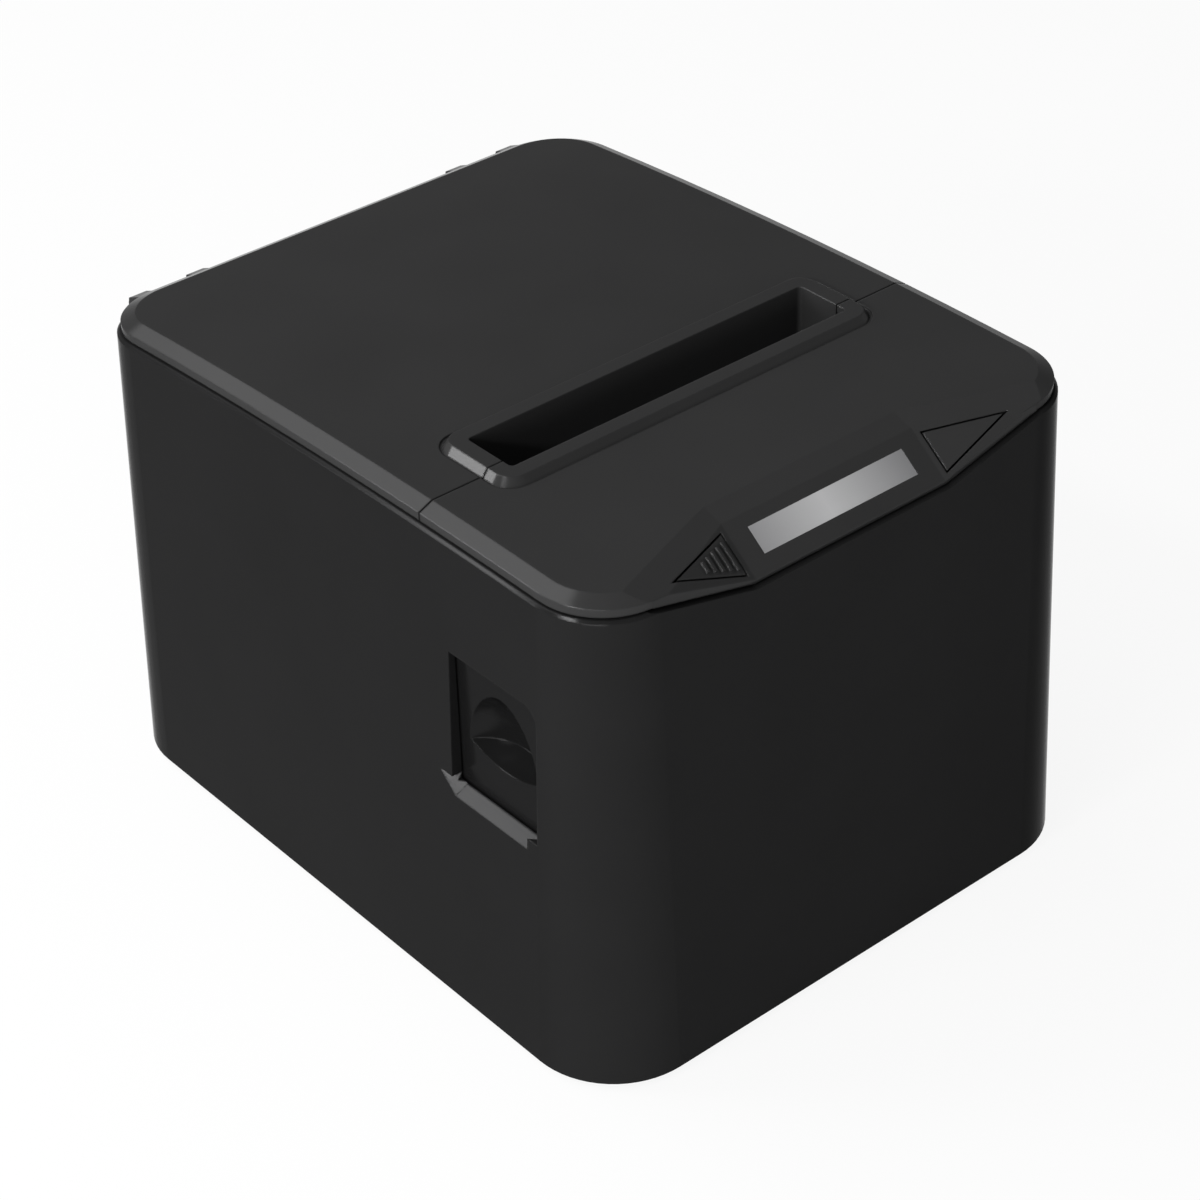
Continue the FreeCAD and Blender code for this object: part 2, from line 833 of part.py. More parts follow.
def flared_sill(body):
    """Flares the lower edge of the key's opening outwards, with a turned corner at the rear."""
    low = latch_low
    turned = latch_rear - d.sill_corner
    rise = d.sill_corner * tangent(d.sill_turn)
    flare = d.sill_reach * tangent(d.sill_slope)
    corner_back = (flare + rise * cosine(d.sill_turn)) / sine(d.sill_turn)
    inner = new_sketch(body, "YZ", latch_face)
    draw_polygon(inner, [(latch_front, low), (turned, low), (latch_rear, low + rise), (latch_front, low + rise)])
    outer = new_sketch(body, "YZ", latch_face - d.sill_reach)
    outer_front = latch_front + d.sill_short
    draw_polygon(outer, [
        (outer_front, low - flare), (turned + flare * tangent(d.sill_turn / 2), low - flare),
        (turned + corner_back, low + rise), (outer_front, low + rise),
    ])
    sill = body.newObject("PartDesign::SubtractiveLoft", "Sill")
    sill.Profile = inner
    sill.Sections = [outer]
    sill.Ruled = True
    doc.recompute()


def hinge_ear(body, middle):
    """A rounded ear on the outside of the rear wall that carries one hinge pin."""
    span = (middle - d.ear_width / 2, middle + d.ear_width / 2)
    root_back = rear_wall - d.wall / 2
    stem = [
        (root_back, hinge_height - d.ear_radius - d.ear_stem), (hinge_back, hinge_height - d.ear_radius),
        (hinge_back, hinge_height + d.ear_radius), (root_back, hinge_height + d.ear_radius),
    ]
    pad(body, "YZ", sides(stem), span)
    pad(body, "YZ", ring(hinge_spot, d.ear_radius), span)
    pocket(body, "YZ", ring(hinge_spot, d.pin_radius), (span[0] - OVERLAP, span[1] + OVERLAP))


def rear_openings(body):
    """Openings in the rear wall round the sockets and the switch."""
    openings = [
        rectangle((middle - width / 2 - d.port_gap, middle + width / 2 + d.port_gap),
                  (board_top - d.port_gap, board_top + height + d.port_gap))
        for middle, width, height in PORTS.values()
    ]
    openings.append(rectangle(switch_across, switch_up))
    pocket(body, "XZ", several(openings), (half_depth - 2 * d.wall, half_depth + OVERLAP))


def base_tray():
    """Floor of the printer with screw holes and posts for the board."""
    body = node(new_body("base_tray"))
    inset = d.wall + d.seam_gap
    outline = rounded((inset - half_width, half_width - inset), (inset - half_depth, half_depth - inset),
                      d.corner_radius - inset)
    pad(body, "XY", outline, (d.foot_rise, tray_top), taper=-d.draft)
    half = d.board_post_radius
    posts = []
    for side in SIDES.values():
        across = (side * d.board_post_across - half, side * d.board_post_across + half)
        for along in (d.board_front + 2 * half, board_rear - 4 * half):
            posts.append(rectangle(across, (along - half, along + half)))
    pad(body, "XY", several(posts), (tray_top, d.board_level))
    holes = four_corners(boss_across, boss_along)
    pocket(body, "XY", rings(holes, d.screw_radius), (d.foot_rise, tray_top), outward=True)
    head_seat = (d.foot_rise, d.foot_rise + d.screw_head_depth)
    pocket(body, "XY", rings(holes, d.screw_head_radius), head_seat, outward=True)
    return body


def rubber_feet():
    """Four round rubber feet under the tray."""
    for end, along in ENDS.items():
        for side, across in SIDES.items():
            spot = (across * foot_across, along * foot_along)
            node(rod(f"rubber_foot_{end}_{side}", spot, (0 * d.foot_rise, d.foot_rise), d.foot_radius, UP))


def case_screws():
    """Four screws from below that hold the tray to the housing."""
    for end, along in ENDS.items():
        for side, across in SIDES.items():
            spot = (across * boss_across, along * boss_along)
            name = f"case_screw_{end}_{side}"
            head_span = (d.foot_rise, d.foot_rise + d.screw_head_depth)
            head = rod(f"{name}_head", spot, head_span, d.screw_head_radius, UP)
            shank = rod(f"{name}_shank", spot, (d.foot_rise, tray_top + d.screw_length), d.screw_radius, UP)
            node(fuse(name, [head, shank]))


# Top mouldings

def cap_blank(name):
    """A crowned, bevelled plate with the paper slot's rim and chute, shared by lid and front cover."""
    body = node(new_body(name))
    corner = top_radius - d.cap_inset
    outline = rounded((-cap_half_width, cap_half_width), (-cap_half_depth, cap_half_depth), corner)
    pad(body, "XY", outline, (d.crown_height - BEYOND, d.crown_height + BEYOND / 2))
    crown_cut(body, d.crown_radius + cap_rise, ceiling)
    base = body.Tip
    top_edges = edge_names(base, lambda edge: edge.BoundBox.ZMin > number(rear_brow) - OVERLAP)
    bevel = body.newObject("PartDesign::Chamfer", "Bevel")
    bevel.Base = (base, top_edges)
    bevel.ChamferType = "Two distances"
    bind(bevel, "Size", d.bevel_drop)
    bind(bevel, "Size2", d.bevel_width)
    doc.recompute()
    crown_cut(body, d.crown_radius + d.seam_gap, d.crown_height - 2 * BEYOND)
    groove = slot_outline(d.rim_width + d.groove_width, d.rim_corner + d.groove_width)
    pocket(body, "XY", groove, (rim_foot, ceiling))
    pad(body, "XY", slot_outline(d.rim_width, d.rim_corner), (rim_foot, rim_top), taper=-d.rim_lean)
    chute = rectangle((-slot_half - d.chute_wall, slot_half + d.chute_wall),
                      (slot_front - d.chute_wall, slot_back + d.chute_wall))
    pad(body, "XY", sides(chute), (chute_floor, rim_foot))
    pocket(body, "XY", slot_outline(0, d.slot_corner), (chute_floor, rim_top))
    return body


def slot_outline(margin, corner):
    """A drawing routine for the paper slot's outline, grown by an even margin."""
    return rounded((-slot_half - margin, slot_half + margin), (slot_front - margin, slot_back + margin), corner)


def keep_part(body, back):
    """Keeps only what is outside a span from front to back."""
    reach = half_width + BEYOND
    pocket(body, "XY", sides(rectangle((-reach, reach), back)), (d.crown_height - 2 * BEYOND, ceiling))


def slope_sketch(body, spot, turn):
    """A free sketch at a spot, turned from the level."""
    sketch = body.newObject("Sketcher::SketchObject", "SlopeSketch")
    sketch.Placement = Placement(Vector(*[number(size) for size in spot]), turn)
    return sketch


def bay_cut(body, spot, slope, fold):
    """Cuts a three-sided bay: a sloped middle plane with two planes folded up beside it."""
    reach = 60
    ahead = 30
    rise = reach * tangent(fold)
    start = (0, spot[0] - ahead * cosine(slope), spot[1] - ahead * sine(slope))
    sketch = slope_sketch(body, start, Rotation(ACROSS, 90 + number(slope)))
    outer = d.panel_half + reach
    draw_polygon(sketch, [
        (-d.panel_half, 0), (d.panel_half, 0), (outer, rise), (outer, rise + reach),
        (-outer, rise + reach), (-outer, rise),
    ])
    cut_profile(body, sketch, 3 * reach)


def facet_turn(side):
    """The turn of one panel facet: 0 for the middle, -1 for the left and 1 for the right."""
    return Rotation(ACROSS, number(d.panel_slope)) * Rotation(BACK, -side * number(d.panel_fold))


def facet_spot(side):
    """The lower inner corner of a panel facet."""
    return (side * d.panel_half, front_face, panel_floor)


def key_outline(side, gap):
    """A triangular key on a side facet, drawn in by an even gap."""
    length = d.key_reach - d.key_inner
    low_slope = (d.key_peak - d.key_low) / length
    high_slope = (d.key_high - d.key_peak) / length
    low_shift = gap * root(1 + low_slope * low_slope)
    high_shift = gap * root(1 + high_slope * high_slope)
    inner = d.key_inner + gap
    reach = d.key_reach - (low_shift + high_shift) / (low_slope + high_slope)
    low = d.key_low + low_shift + low_slope * gap
    high = d.key_high - high_shift - high_slope * gap
    peak = d.key_peak + low_shift - low_slope * (d.key_reach - reach)
    corners = [(side * inner, low), (side * reach, peak), (side * inner, high)]
    return corners if side > 0 else corners[::-1]


def front_cover():
    """Fixed front part of the top with the three-sided control panel."""
    body = cap_blank("front_cover")
    keep_part(body, (-d.lid_front - split_half, half_depth))
    block = [
        (d.seam_gap - d.notch_half, block_floor), (d.notch_half - d.seam_gap, block_floor),
        (d.notch_tip - OVERLAP, notch_brow + d.seam_gap), (d.notch_tip - OVERLAP, d.crown_height + OVERLAP),
        (OVERLAP - d.notch_tip, d.crown_height + OVERLAP), (OVERLAP - d.notch_tip, notch_brow + d.seam_gap),
    ]
    pad(body, "XZ", sides(block), (front_face, block_back))
    bay_cut(body, (front_face, panel_floor), d.panel_slope, d.panel_fold)
    bevel_front = front_face + (panel_top - panel_floor) / tangent(d.panel_slope)
    bay_cut(body, (bevel_front, panel_top), d.panel_bevel_slope, d.panel_bevel_fold)
    skin = d.panel_wall / cosine(d.panel_slope)
    hollow_front = front_face + (block_floor + skin - panel_floor) / tangent(d.panel_slope)
    hollow_top = d.crown_height - d.panel_wall
    hollow_brow = hollow_front + (hollow_top - block_floor) / tangent(d.panel_slope)
    hollow_back = block_back + OVERLAP
    cavity = [
        (hollow_front, block_floor - OVERLAP), (hollow_back, block_floor - OVERLAP), (hollow_back, hollow_top),
        (hollow_brow, hollow_top), (hollow_front, block_floor),
    ]
    cavity_half = d.notch_half + d.panel_depth / 2
    pocket(body, "YZ", sides(cavity), (-cavity_half, cavity_half))
    window = slope_sketch(body, facet_spot(0), facet_turn(0))
    half = d.window_length / 2
    draw_polygon(window, rectangle(
        (-half, half), (d.window_rise - d.window_width / 2, d.window_rise + d.window_width / 2)))
    cut_profile(body, window, d.window_depth)
    for side in SIDES.values():
        opening = slope_sketch(body, facet_spot(side), facet_turn(side))
        draw_polygon(opening, key_outline(side, 0))
        cut_profile(body, opening, BEYOND)
    pegs = [(side * cover_post_across, -cover_post_ahead) for side in SIDES.values()]
    pad(body, "XY", rings(pegs, d.peg_radius), (cover_post_top, cap_under))
    posts = [(side * d.panel_post_across, panel_board_rear - d.panel_post_inset) for side in SIDES.values()]
    pad(body, "XY", rings(posts, d.panel_post_radius), (panel_board_top, cap_under))
    return body


def window_lens():
    """Clear strip over the status lamps, set in the middle facet."""
    body = node(new_body("window_lens"))
    sketch = slope_sketch(body, facet_spot(0), facet_turn(0))
    half = d.window_length / 2
    draw_polygon(sketch, rectangle(
        (-half, half), (d.window_rise - d.window_width / 2, d.window_rise + d.window_width / 2)))
    feature = body.newObject("PartDesign::Pad", "Pad")
    feature.Profile = sketch
    feature.Reversed = True
    bind(feature, "Length", d.window_depth)
    doc.recompute()
    return body


def panel_key(name, side, ribbed):
    """Triangular push key in a side facet; the ribbed one has raised ribs along its inner side."""
    body = node(new_body(name))
    sketch = slope_sketch(body, facet_spot(side), facet_turn(side))
    draw_polygon(sketch, key_outline(side, d.key_gap))
    feature = body.newObject("PartDesign::Pad", "Pad")
    feature.Profile = sketch
    feature.Reversed = True
    bind(feature, "Length", d.key_thickness)
    doc.recompute()
    if ribbed:
        add_ribs(body, side)
    return body


def add_ribs(body, side):
    """Raised ribs that get shorter towards the key's point."""
    length = d.key_reach - d.key_inner
    pitch = length / (2 * RIB_COUNT)
    sketch = slope_sketch(body, facet_spot(side), facet_turn(side))
    for index in range(RIB_COUNT):
        inner = d.key_inner + d.rib_inset + index * pitch
        outer = inner + d.rib_width
        left = 1 - (outer - d.key_inner) / length
        low = d.key_peak - (d.key_peak - d.key_low) * left + d.rib_inset
        high = d.key_peak + (d.key_high - d.key_peak) * left - d.rib_inset
        across = sorted((side * inner, side * outer), key=number)
        draw_polygon(sketch, rectangle(across, (low, high)))
    feature = body.newObject("PartDesign::Pad", "Ribs")
    feature.Profile = sketch
    bind(feature, "Length", d.rib_rise)
    doc.recompute()


def paper_lid():
    """Rear part of the top, with the back of the paper chute and the hinge arms."""
    body = cap_blank("paper_lid")
    keep_part(body, (-half_depth, split_half - d.lid_front))
    bosses = [(side * d.lid_boss_across, along) for side in SIDES.values()
              for along in (-d.lid_boss_ahead, d.lid_boss_back)]
    pad(body, "XY", rings(bosses, d.lid_boss_radius), (bracket_top, cap_under))
    arm_low = rear_brow + 2 * d.seam_gap
    arm_high = rear_brow + d.cap_side
    arm_root = cap_half_depth - d.bevel_width
    arm_back = rear_wall + d.seam_gap
    arm = [
        (arm_root, arm_low), (arm_back, arm_low), (arm_back, hinge_height), (half_depth, hinge_height),
        (half_depth - d.ear_radius / 4, hinge_height + d.ear_radius), (cap_half_depth, arm_high),
        (arm_root, arm_high),
    ]
    for side in SIDES.values():
        middle = side * ear_centre
        reach = (d.ear_width / 2 + d.seam_gap, d.pin_length / 2)
        for span in ((middle - reach[1], middle - reach[0]), (middle + reach[0], middle + reach[1])):
            pad(body, "YZ", sides(arm), span)
            pad(body, "YZ", ring(hinge_spot, d.ear_radius), span)
        hole = (middle - d.pin_length / 2, middle + d.pin_length / 2)
        pocket(body, "YZ", ring(hinge_spot, d.pin_radius + d.running_fit), hole)
    return body


def hinge_pins():
    """Steel pins pressed into the housing's ears."""
    for side, sign in SIDES.items():
        middle = sign * ear_centre
        span = (middle - d.pin_length / 2, middle + d.pin_length / 2)
        node(rod(f"hinge_pin_{side}", hinge_spot, span, d.pin_radius))


def release_key():
    """Sliding key behind the opening in the left wall, with a finger scoop over a dished shelf."""
    body = node(new_body("release_key"))
    plate = rectangle((key_front, key_rear),
                      (latch_low - d.latch_cover + d.latch_travel, latch_top + d.latch_cover))
    pad(body, "YZ", sides(plate), (key_face, key_back))
    pad(body, "YZ", ring(lever_peg_spot, d.lever_peg_radius), (key_back, -lever_inner))
    scoop_cut(body)
    return body


def scoop_cut(body):
    """A finger scoop turned about an upright axis ahead of the key's face: a dome over a dished shelf."""
    half = d.scoop_width / 2
    plan_radius = (half * half + d.scoop_depth * d.scoop_depth) / (2 * d.scoop_depth)
    dome_radius = (d.scoop_rise * d.scoop_rise + d.scoop_depth * d.scoop_depth) / (2 * d.scoop_depth)
    peak = math.sqrt(number(dome_radius) ** 2 - number(dome_radius - plan_radius) ** 2)
    sketch = new_sketch(body, "XZ", -latch_middle)
    bind(sketch, "AttachmentOffset.Base.x", key_face + d.scoop_depth - plan_radius)
    bind(sketch, "AttachmentOffset.Base.y", latch_low + d.scoop_shelf_rise)
    rim = Vector(number(plan_radius), 0, 0)
    low = Vector(0, -number(d.scoop_dish), 0)
    high = Vector(0, peak, 0)
    dome_middle = Vector(number(plan_radius - dome_radius), 0, 0)
    dome_circle = Part.Circle(dome_middle, UP, number(dome_radius))
    dome = sketch.addGeometry(Part.ArcOfCircle(dome_circle, 0, dome_circle.parameter(high)))
    dish_radius = (rim.x ** 2 + low.y ** 2) / (-2 * low.y)
    dish_circle = Part.Circle(Vector(0, dish_radius + low.y, 0), UP, dish_radius)
    dish = sketch.addGeometry(
        Part.ArcOfCircle(dish_circle, dish_circle.parameter(low), dish_circle.parameter(rim)))
    axis = sketch.addGeometry(Part.LineSegment(high, low))
    sketch.addConstraint(Sketcher.Constraint("Coincident", dome, 2, axis, 1))
    sketch.addConstraint(Sketcher.Constraint("Coincident", axis, 2, dish, 1))
    sketch.addConstraint(Sketcher.Constraint("Coincident", dish, 2, dome, 1))
    hold(sketch, "DistanceX", dome, 3, plan_radius - dome_radius)
    hold(sketch, "DistanceY", dome, 3, 0)
    hold(sketch, "DistanceX", dome, 1, plan_radius)
    hold(sketch, "DistanceY", dome, 1, 0)
    hold(sketch, "DistanceX", axis, 1, 0)
    hold(sketch, "DistanceX", axis, 2, 0)
    hold(sketch, "DistanceY", axis, 2, -d.scoop_dish)
    hold(sketch, "DistanceX", dish, 3, 0)
    before = body.Tip.Shape.Volume
    scoop = body.newObject("PartDesign::Groove", "Scoop")
    scoop.Profile = sketch
    scoop.ReferenceAxis = (sketch, ["V_Axis"])
    scoop.Angle = 360
    doc.recompute()
    if not scoop.Shape.Volume < before:
        raise RuntimeError("the finger scoop misses the release key")


# Paper bucket and steel frame

def draw_trough(sketch, radius):
    """The section of the paper bucket: a half circle under straight walls."""
    across = bucket_back
    up = bucket_height
    middle = Vector(number(across), number(up), 0)
    circle = Part.Circle(middle, UP, number(radius))
    arc = sketch.addGeometry(Part.ArcOfCircle(circle, math.pi, 2 * math.pi))
    top = number(bucket_top)
    right = middle + Vector(number(radius), 0, 0)
    left = middle - Vector(number(radius), 0, 0)
    corners = (right, Vector(right.x, top, 0), Vector(left.x, top, 0), left)
    lines = [sketch.addGeometry(Part.LineSegment(corners[i], corners[i + 1])) for i in range(3)]
    sketch.addConstraint(Sketcher.Constraint("Coincident", arc, 2, lines[0], 1))
    sketch.addConstraint(Sketcher.Constraint("Coincident", lines[0], 2, lines[1], 1))
    sketch.addConstraint(Sketcher.Constraint("Coincident", lines[1], 2, lines[2], 1))
    sketch.addConstraint(Sketcher.Constraint("Coincident", lines[2], 2, arc, 1))
    hold(sketch, "DistanceX", arc, 3, across)
    hold(sketch, "DistanceY", arc, 3, up)
    hold(sketch, "DistanceY", arc, 1, up)
    hold(sketch, "DistanceY", arc, 2, up)
    sketch.addConstraint(Sketcher.Constraint("Vertical", lines[0]))
    sketch.addConstraint(Sketcher.Constraint("Vertical", lines[2]))
    sketch.addConstraint(Sketcher.Constraint("Horizontal", lines[1]))
    hold(sketch, "DistanceY", lines[1], 1, bucket_top)
    rule = sketch.addConstraint(Sketcher.Constraint("Radius", arc, number(radius)))
    bind(sketch, f"Constraints[{rule}]", radius)


def paper_bucket():
    """Round-bottomed trough for the paper roll, with lugs that meet the steel side plates."""
    body = node(new_body("paper_bucket"))
    outside = (-bucket_outer_half, bucket_outer_half)
    pad(body, "YZ", lambda sketch: draw_trough(sketch, bucket_outer_radius), outside)
    pocket(body, "YZ", lambda sketch: draw_trough(sketch, bucket_radius), (-bucket_half, bucket_half))
    lug_front = bucket_back - bucket_outer_radius
    lug_low = bucket_height + d.lug_rise
    lug = rectangle((lug_front, lug_front + d.lug_depth), (lug_low, lug_low + d.lug_height))
    pad(body, "YZ", sides(lug), (bucket_half, plate_inner))
    pad(body, "YZ", sides(lug), (-plate_inner, -bucket_half))
    return body


# The platen leaves its seats along the lid's circle
platen_arm_back = hinge_back + d.platen_ahead
platen_arm_down = hinge_height - platen_height
platen_arm = root(platen_arm_back * platen_arm_back + platen_arm_down * platen_arm_down)
leave_back = -platen_arm_down / platen_arm
leave_up = platen_arm_back / platen_arm


def along_leave(distance, aside):
    """A spot measured from the platen's axis along the way it leaves, and aside from that way."""
    return (-d.platen_ahead + leave_back * distance + leave_up * aside,
            platen_height + leave_up * distance - leave_back * aside)


def gear_reach(first, second):
    """Distance between two meshing gears."""
    return d.tooth_module * (first + second) / 2


def spot_along(start, way, distance):
    """A spot at a distance from another, in a direction."""
    return (start[0] + distance * math.cos(way), start[1] + distance * math.sin(way))


idler_spot = along_leave(-gear_reach(PLATEN_TEETH, IDLER_TEETH), 0)
feed_spot = spot_along(idler_spot, FEED_WAY, gear_reach(IDLER_TEETH, PINION_TEETH))
rack_level = blade_bottom - d.rack_hang
cutter_spot = (-d.cutter_ahead, rack_level - d.tooth_module * PINION_TEETH / 2)
cut_motor_spot = spot_along(cutter_spot, CUT_WAY, gear_reach(CUTTER_TEETH, PINION_TEETH))


def head_place(outward, upward):
    """A spot in the tilted frame of the print head: outward from head to platen, upward along the paper."""
    return (-d.platen_ahead + outward * cosine(d.head_tilt) - upward * sine(d.head_tilt),
            platen_height + outward * sine(d.head_tilt) + upward * cosine(d.head_tilt))


head_face = -(d.platen_radius + d.head_gap)
sink_face = head_face - d.head_thickness
sink_back = sink_face - d.sink_thickness
pivot_spot = head_place((sink_face + sink_back) / 2, -d.pivot_drop)
bar_front = sink_back - d.bar_gap


def mech_frame():
    """Two steel side plates on a cross sheet, with open seats for the platen bushes and bearing holes."""
    body = node(new_body("mech_frame"))
    rear_top = platen_height + d.frame_rear_rise
    plate = [
        (-d.frame_front, tray_top), (d.frame_rear, tray_top), (d.frame_rear, rear_top),
        (-d.frame_step, rear_top), (-d.frame_step, frame_top), (-d.frame_nose, frame_top),
        (-d.frame_nose, platen_height - d.frame_nose_drop), (-d.frame_front, platen_height - d.frame_root_drop),
    ]
    sheet_back = (-d.frame_front, d.plate_thickness - d.frame_front)
    sheet_outline = rectangle(sheet_back, (tray_top, d.frame_sheet_top))
    pad(body, "YZ", sides(sheet_outline), (-plate_outer, plate_outer))
    pad(body, "YZ", sides(plate), (-plate_outer, -plate_inner))
    pad(body, "YZ", sides(plate), (plate_inner, plate_outer))
    through = (-plate_outer - OVERLAP, plate_outer + OVERLAP)
    half = d.bush_radius + d.seat_gap
    seat = [along_leave(0, -half), along_leave(0, half), along_leave(BEYOND, half), along_leave(BEYOND, -half)]
    pocket(body, "YZ", sides(seat), through)
    pocket(body, "YZ", ring(platen_spot, half), through)
    pocket(body, "YZ", ring(hook_shaft_spot, d.hook_shaft_radius + d.running_fit), through)
    pocket(body, "YZ", ring(cutter_spot, d.axle_radius + d.running_fit), through)
    pocket(body, "YZ", ring(pivot_spot, d.pivot_radius), through)
    right = (plate_inner - OVERLAP, plate_outer + OVERLAP)
    pocket(body, "YZ", ring(idler_spot, d.axle_radius), right)
    pocket(body, "YZ", ring(feed_spot, d.motor_collar), right)
    pocket(body, "YZ", ring(cut_motor_spot, d.motor_collar), (-plate_outer - OVERLAP, OVERLAP - plate_inner))
    return body


# Gears

def involute(angle):
    """The involute function."""
    return math.tan(angle) - angle


def gear(name, teeth, spot, span, bore, turn):
    """A spur gear along X with straight flanks; turn is its first tooth's direction, and bore may be None."""
    module = number(d.tooth_module)
    pitch = module * teeth / 2
    base = pitch * math.cos(PRESSURE_ANGLE)
    tip = pitch + module
    foot = pitch - 1.25 * module
    half_tooth = math.pi / (2 * teeth) - number(d.mesh_play) / (2 * pitch)

    def at(radius, angle):
        return Vector(0, radius * math.cos(angle), radius * math.sin(angle))

    def flank(radius):
        return half_tooth + involute(PRESSURE_ANGLE) - involute(math.acos(base / radius))

    corners = []
    for index in range(teeth):
        middle = turn + 2 * math.pi * index / teeth
        corners += [
            at(foot, middle - flank(base)), at(base, middle - flank(base)), at(tip, middle - flank(tip)),
            at(tip, middle + flank(tip)), at(base, middle + flank(base)), at(foot, middle + flank(base)),
        ]
    width = number(span[1] - span[0])
    wheel = Part.Face(Part.makePolygon(corners + corners[:1])).extrude(ACROSS * width)
    if bore:
        wheel = wheel.cut(Part.makeCylinder(number(bore), width, Vector(), ACROSS))
    piece = doc.addObject("Part::Feature", name)
    piece.Shape = wheel
    piece.Placement = Placement(Vector(number(span[0]), number(spot[0]), number(spot[1])), Rotation())
    return piece


def way_between(start, finish):
    """The direction from one spot to another, as an angle from the rear towards the top."""
    return math.atan2(number(finish[1] - start[1]), number(finish[0] - start[0]))


def meshing_turn(teeth, own_turn, way, other_teeth):
    """First-tooth direction of a gear that meshes with one whose first tooth points along own_turn."""
    lead = (own_turn - way) % (2 * math.pi / teeth)
    return way + math.pi - lead * teeth / other_teeth + math.pi / other_teeth


gear_span = (gear_face, gear_end)
left_gear_span = (-gear_end, -gear_face)


def ordered(first, second):
    """Two sizes as a span from low to high."""
    return tuple(sorted((first, second), key=number))


def feed_train():
    """Platen gear, idler on its stud, and the pinion on the feed motor's shaft."""
    way = way_between(platen_spot, idler_spot)
    node(gear("platen_gear", PLATEN_TEETH, platen_spot, gear_span, d.shaft_radius, way))
    idler_turn = meshing_turn(PLATEN_TEETH, way, way, IDLER_TEETH)
    node(gear("idler_gear", IDLER_TEETH, idler_spot, gear_span, d.axle_radius + d.running_fit, idler_turn))
    feed_turn = meshing_turn(IDLER_TEETH, idler_turn, way_between(idler_spot, feed_spot), PINION_TEETH)
    teeth = gear("feed_pinion_teeth", PINION_TEETH, feed_spot, gear_span, None, feed_turn)
    shaft_span = (plate_inner - d.motor_bearing + d.seat_gap, gear_face)
    shaft = rod("feed_pinion_shaft", feed_spot, shaft_span, d.motor_shaft_radius)
    node(fuse("feed_pinion", [teeth, shaft]))
    node(rod("idler_axle", idler_spot, (plate_inner, gear_end + OVERLAP), d.axle_radius))


def cutter_train():
    """Cutter shaft with two rack pinions, its gear, and the pinion on the cutter motor's shaft."""
    gap_up = math.pi / 2 + math.pi / PINION_TEETH
    pieces = [rod("cutter_shaft_bar", cutter_spot, (-gear_end - OVERLAP, plate_outer), d.axle_radius)]
    for side, sign in SIDES.items():
        middle = sign * d.rack_across
        span = (middle - d.rack_width / 2, middle + d.rack_width / 2)
        pieces.append(gear(f"cutter_shaft_teeth_{side}", PINION_TEETH, cutter_spot, span, None, gap_up))
    node(fuse("cutter_shaft", pieces))
    way = way_between(cutter_spot, cut_motor_spot)
    node(gear("cutter_gear", CUTTER_TEETH, cutter_spot, left_gear_span, d.axle_radius, way))
    turn = meshing_turn(CUTTER_TEETH, way, way, PINION_TEETH)
    teeth = gear("cutter_pinion_teeth", PINION_TEETH, cut_motor_spot, left_gear_span, None, turn)
    shaft_span = (-gear_face, d.motor_bearing - d.seat_gap - plate_inner)
    shaft = rod("cutter_pinion_shaft", cut_motor_spot, shaft_span, d.motor_shaft_radius)
    node(fuse("cutter_pinion", [teeth, shaft]))


def motor(name, spot, mount, can_length, can_radius, outward):
    """A round motor can against a side plate, with a collar and a bore for the pinion's shaft."""
    can = rod(f"{name}_can", spot, ordered(mount, mount - outward * can_length), can_radius)
    collar_end = mount + outward * d.plate_thickness
    collar = rod(f"{name}_collar", spot, ordered(mount, collar_end), d.motor_collar - d.seat_gap)
    deep = mount - outward * d.motor_bearing
    bore_span = ordered(collar_end + outward * OVERLAP, deep)
    bore = rod(f"{name}_bore", spot, bore_span, d.motor_shaft_radius + d.running_fit)
    node(cut(name, fuse(f"{name}_solid", [can, collar]), [bore]))


def motors():
    """Feed motor on the right side plate and cutter motor on the left one."""
    motor("feed_motor", feed_spot, plate_inner, d.feed_motor_length, d.feed_motor_radius, 1)
    motor("cutter_motor", cut_motor_spot, -plate_inner, d.cutter_motor_length, d.cutter_motor_radius, -1)


# Platen and lid bracket

def platen_set():
    """Rubber roller on its shaft, turning in two bushes held by the lid's bracket."""
    shaft_span = (OVERLAP - gear_face, gear_end + OVERLAP / 2)
    node(rod("platen_shaft", platen_spot, shaft_span, d.shaft_radius))
    sleeve = rod("platen_rubber_sleeve", platen_spot, (-bucket_half, bucket_half), d.platen_radius)
    bore = rod("platen_rubber_bore", platen_spot, (-bucket_half, bucket_half), d.shaft_radius)
    node(cut("platen_rubber", sleeve, [bore]))
    inner = bracket_inner - d.bush_flange_width
    step = plate_outer + d.bush_beyond
    outer = step + d.bush_collar_width
    for side, sign in SIDES.items():
        name = f"platen_bush_{side}"
        start = sign * inner
        steps = (
            (bracket_inner, d.bush_radius + d.bush_flange), (step, d.bush_radius), (outer, d.bush_collar),
        )
        pieces = [rod(f"{name}_step_{index}", platen_spot, ordered(start, sign * end), radius)
                  for index, (end, radius) in enumerate(steps)]
        hole = rod(f"{name}_hole", platen_spot, ordered(start, sign * outer), d.shaft_radius + d.running_fit)
        node(cut(name, fuse(f"{name}_solid", pieces), [hole]))


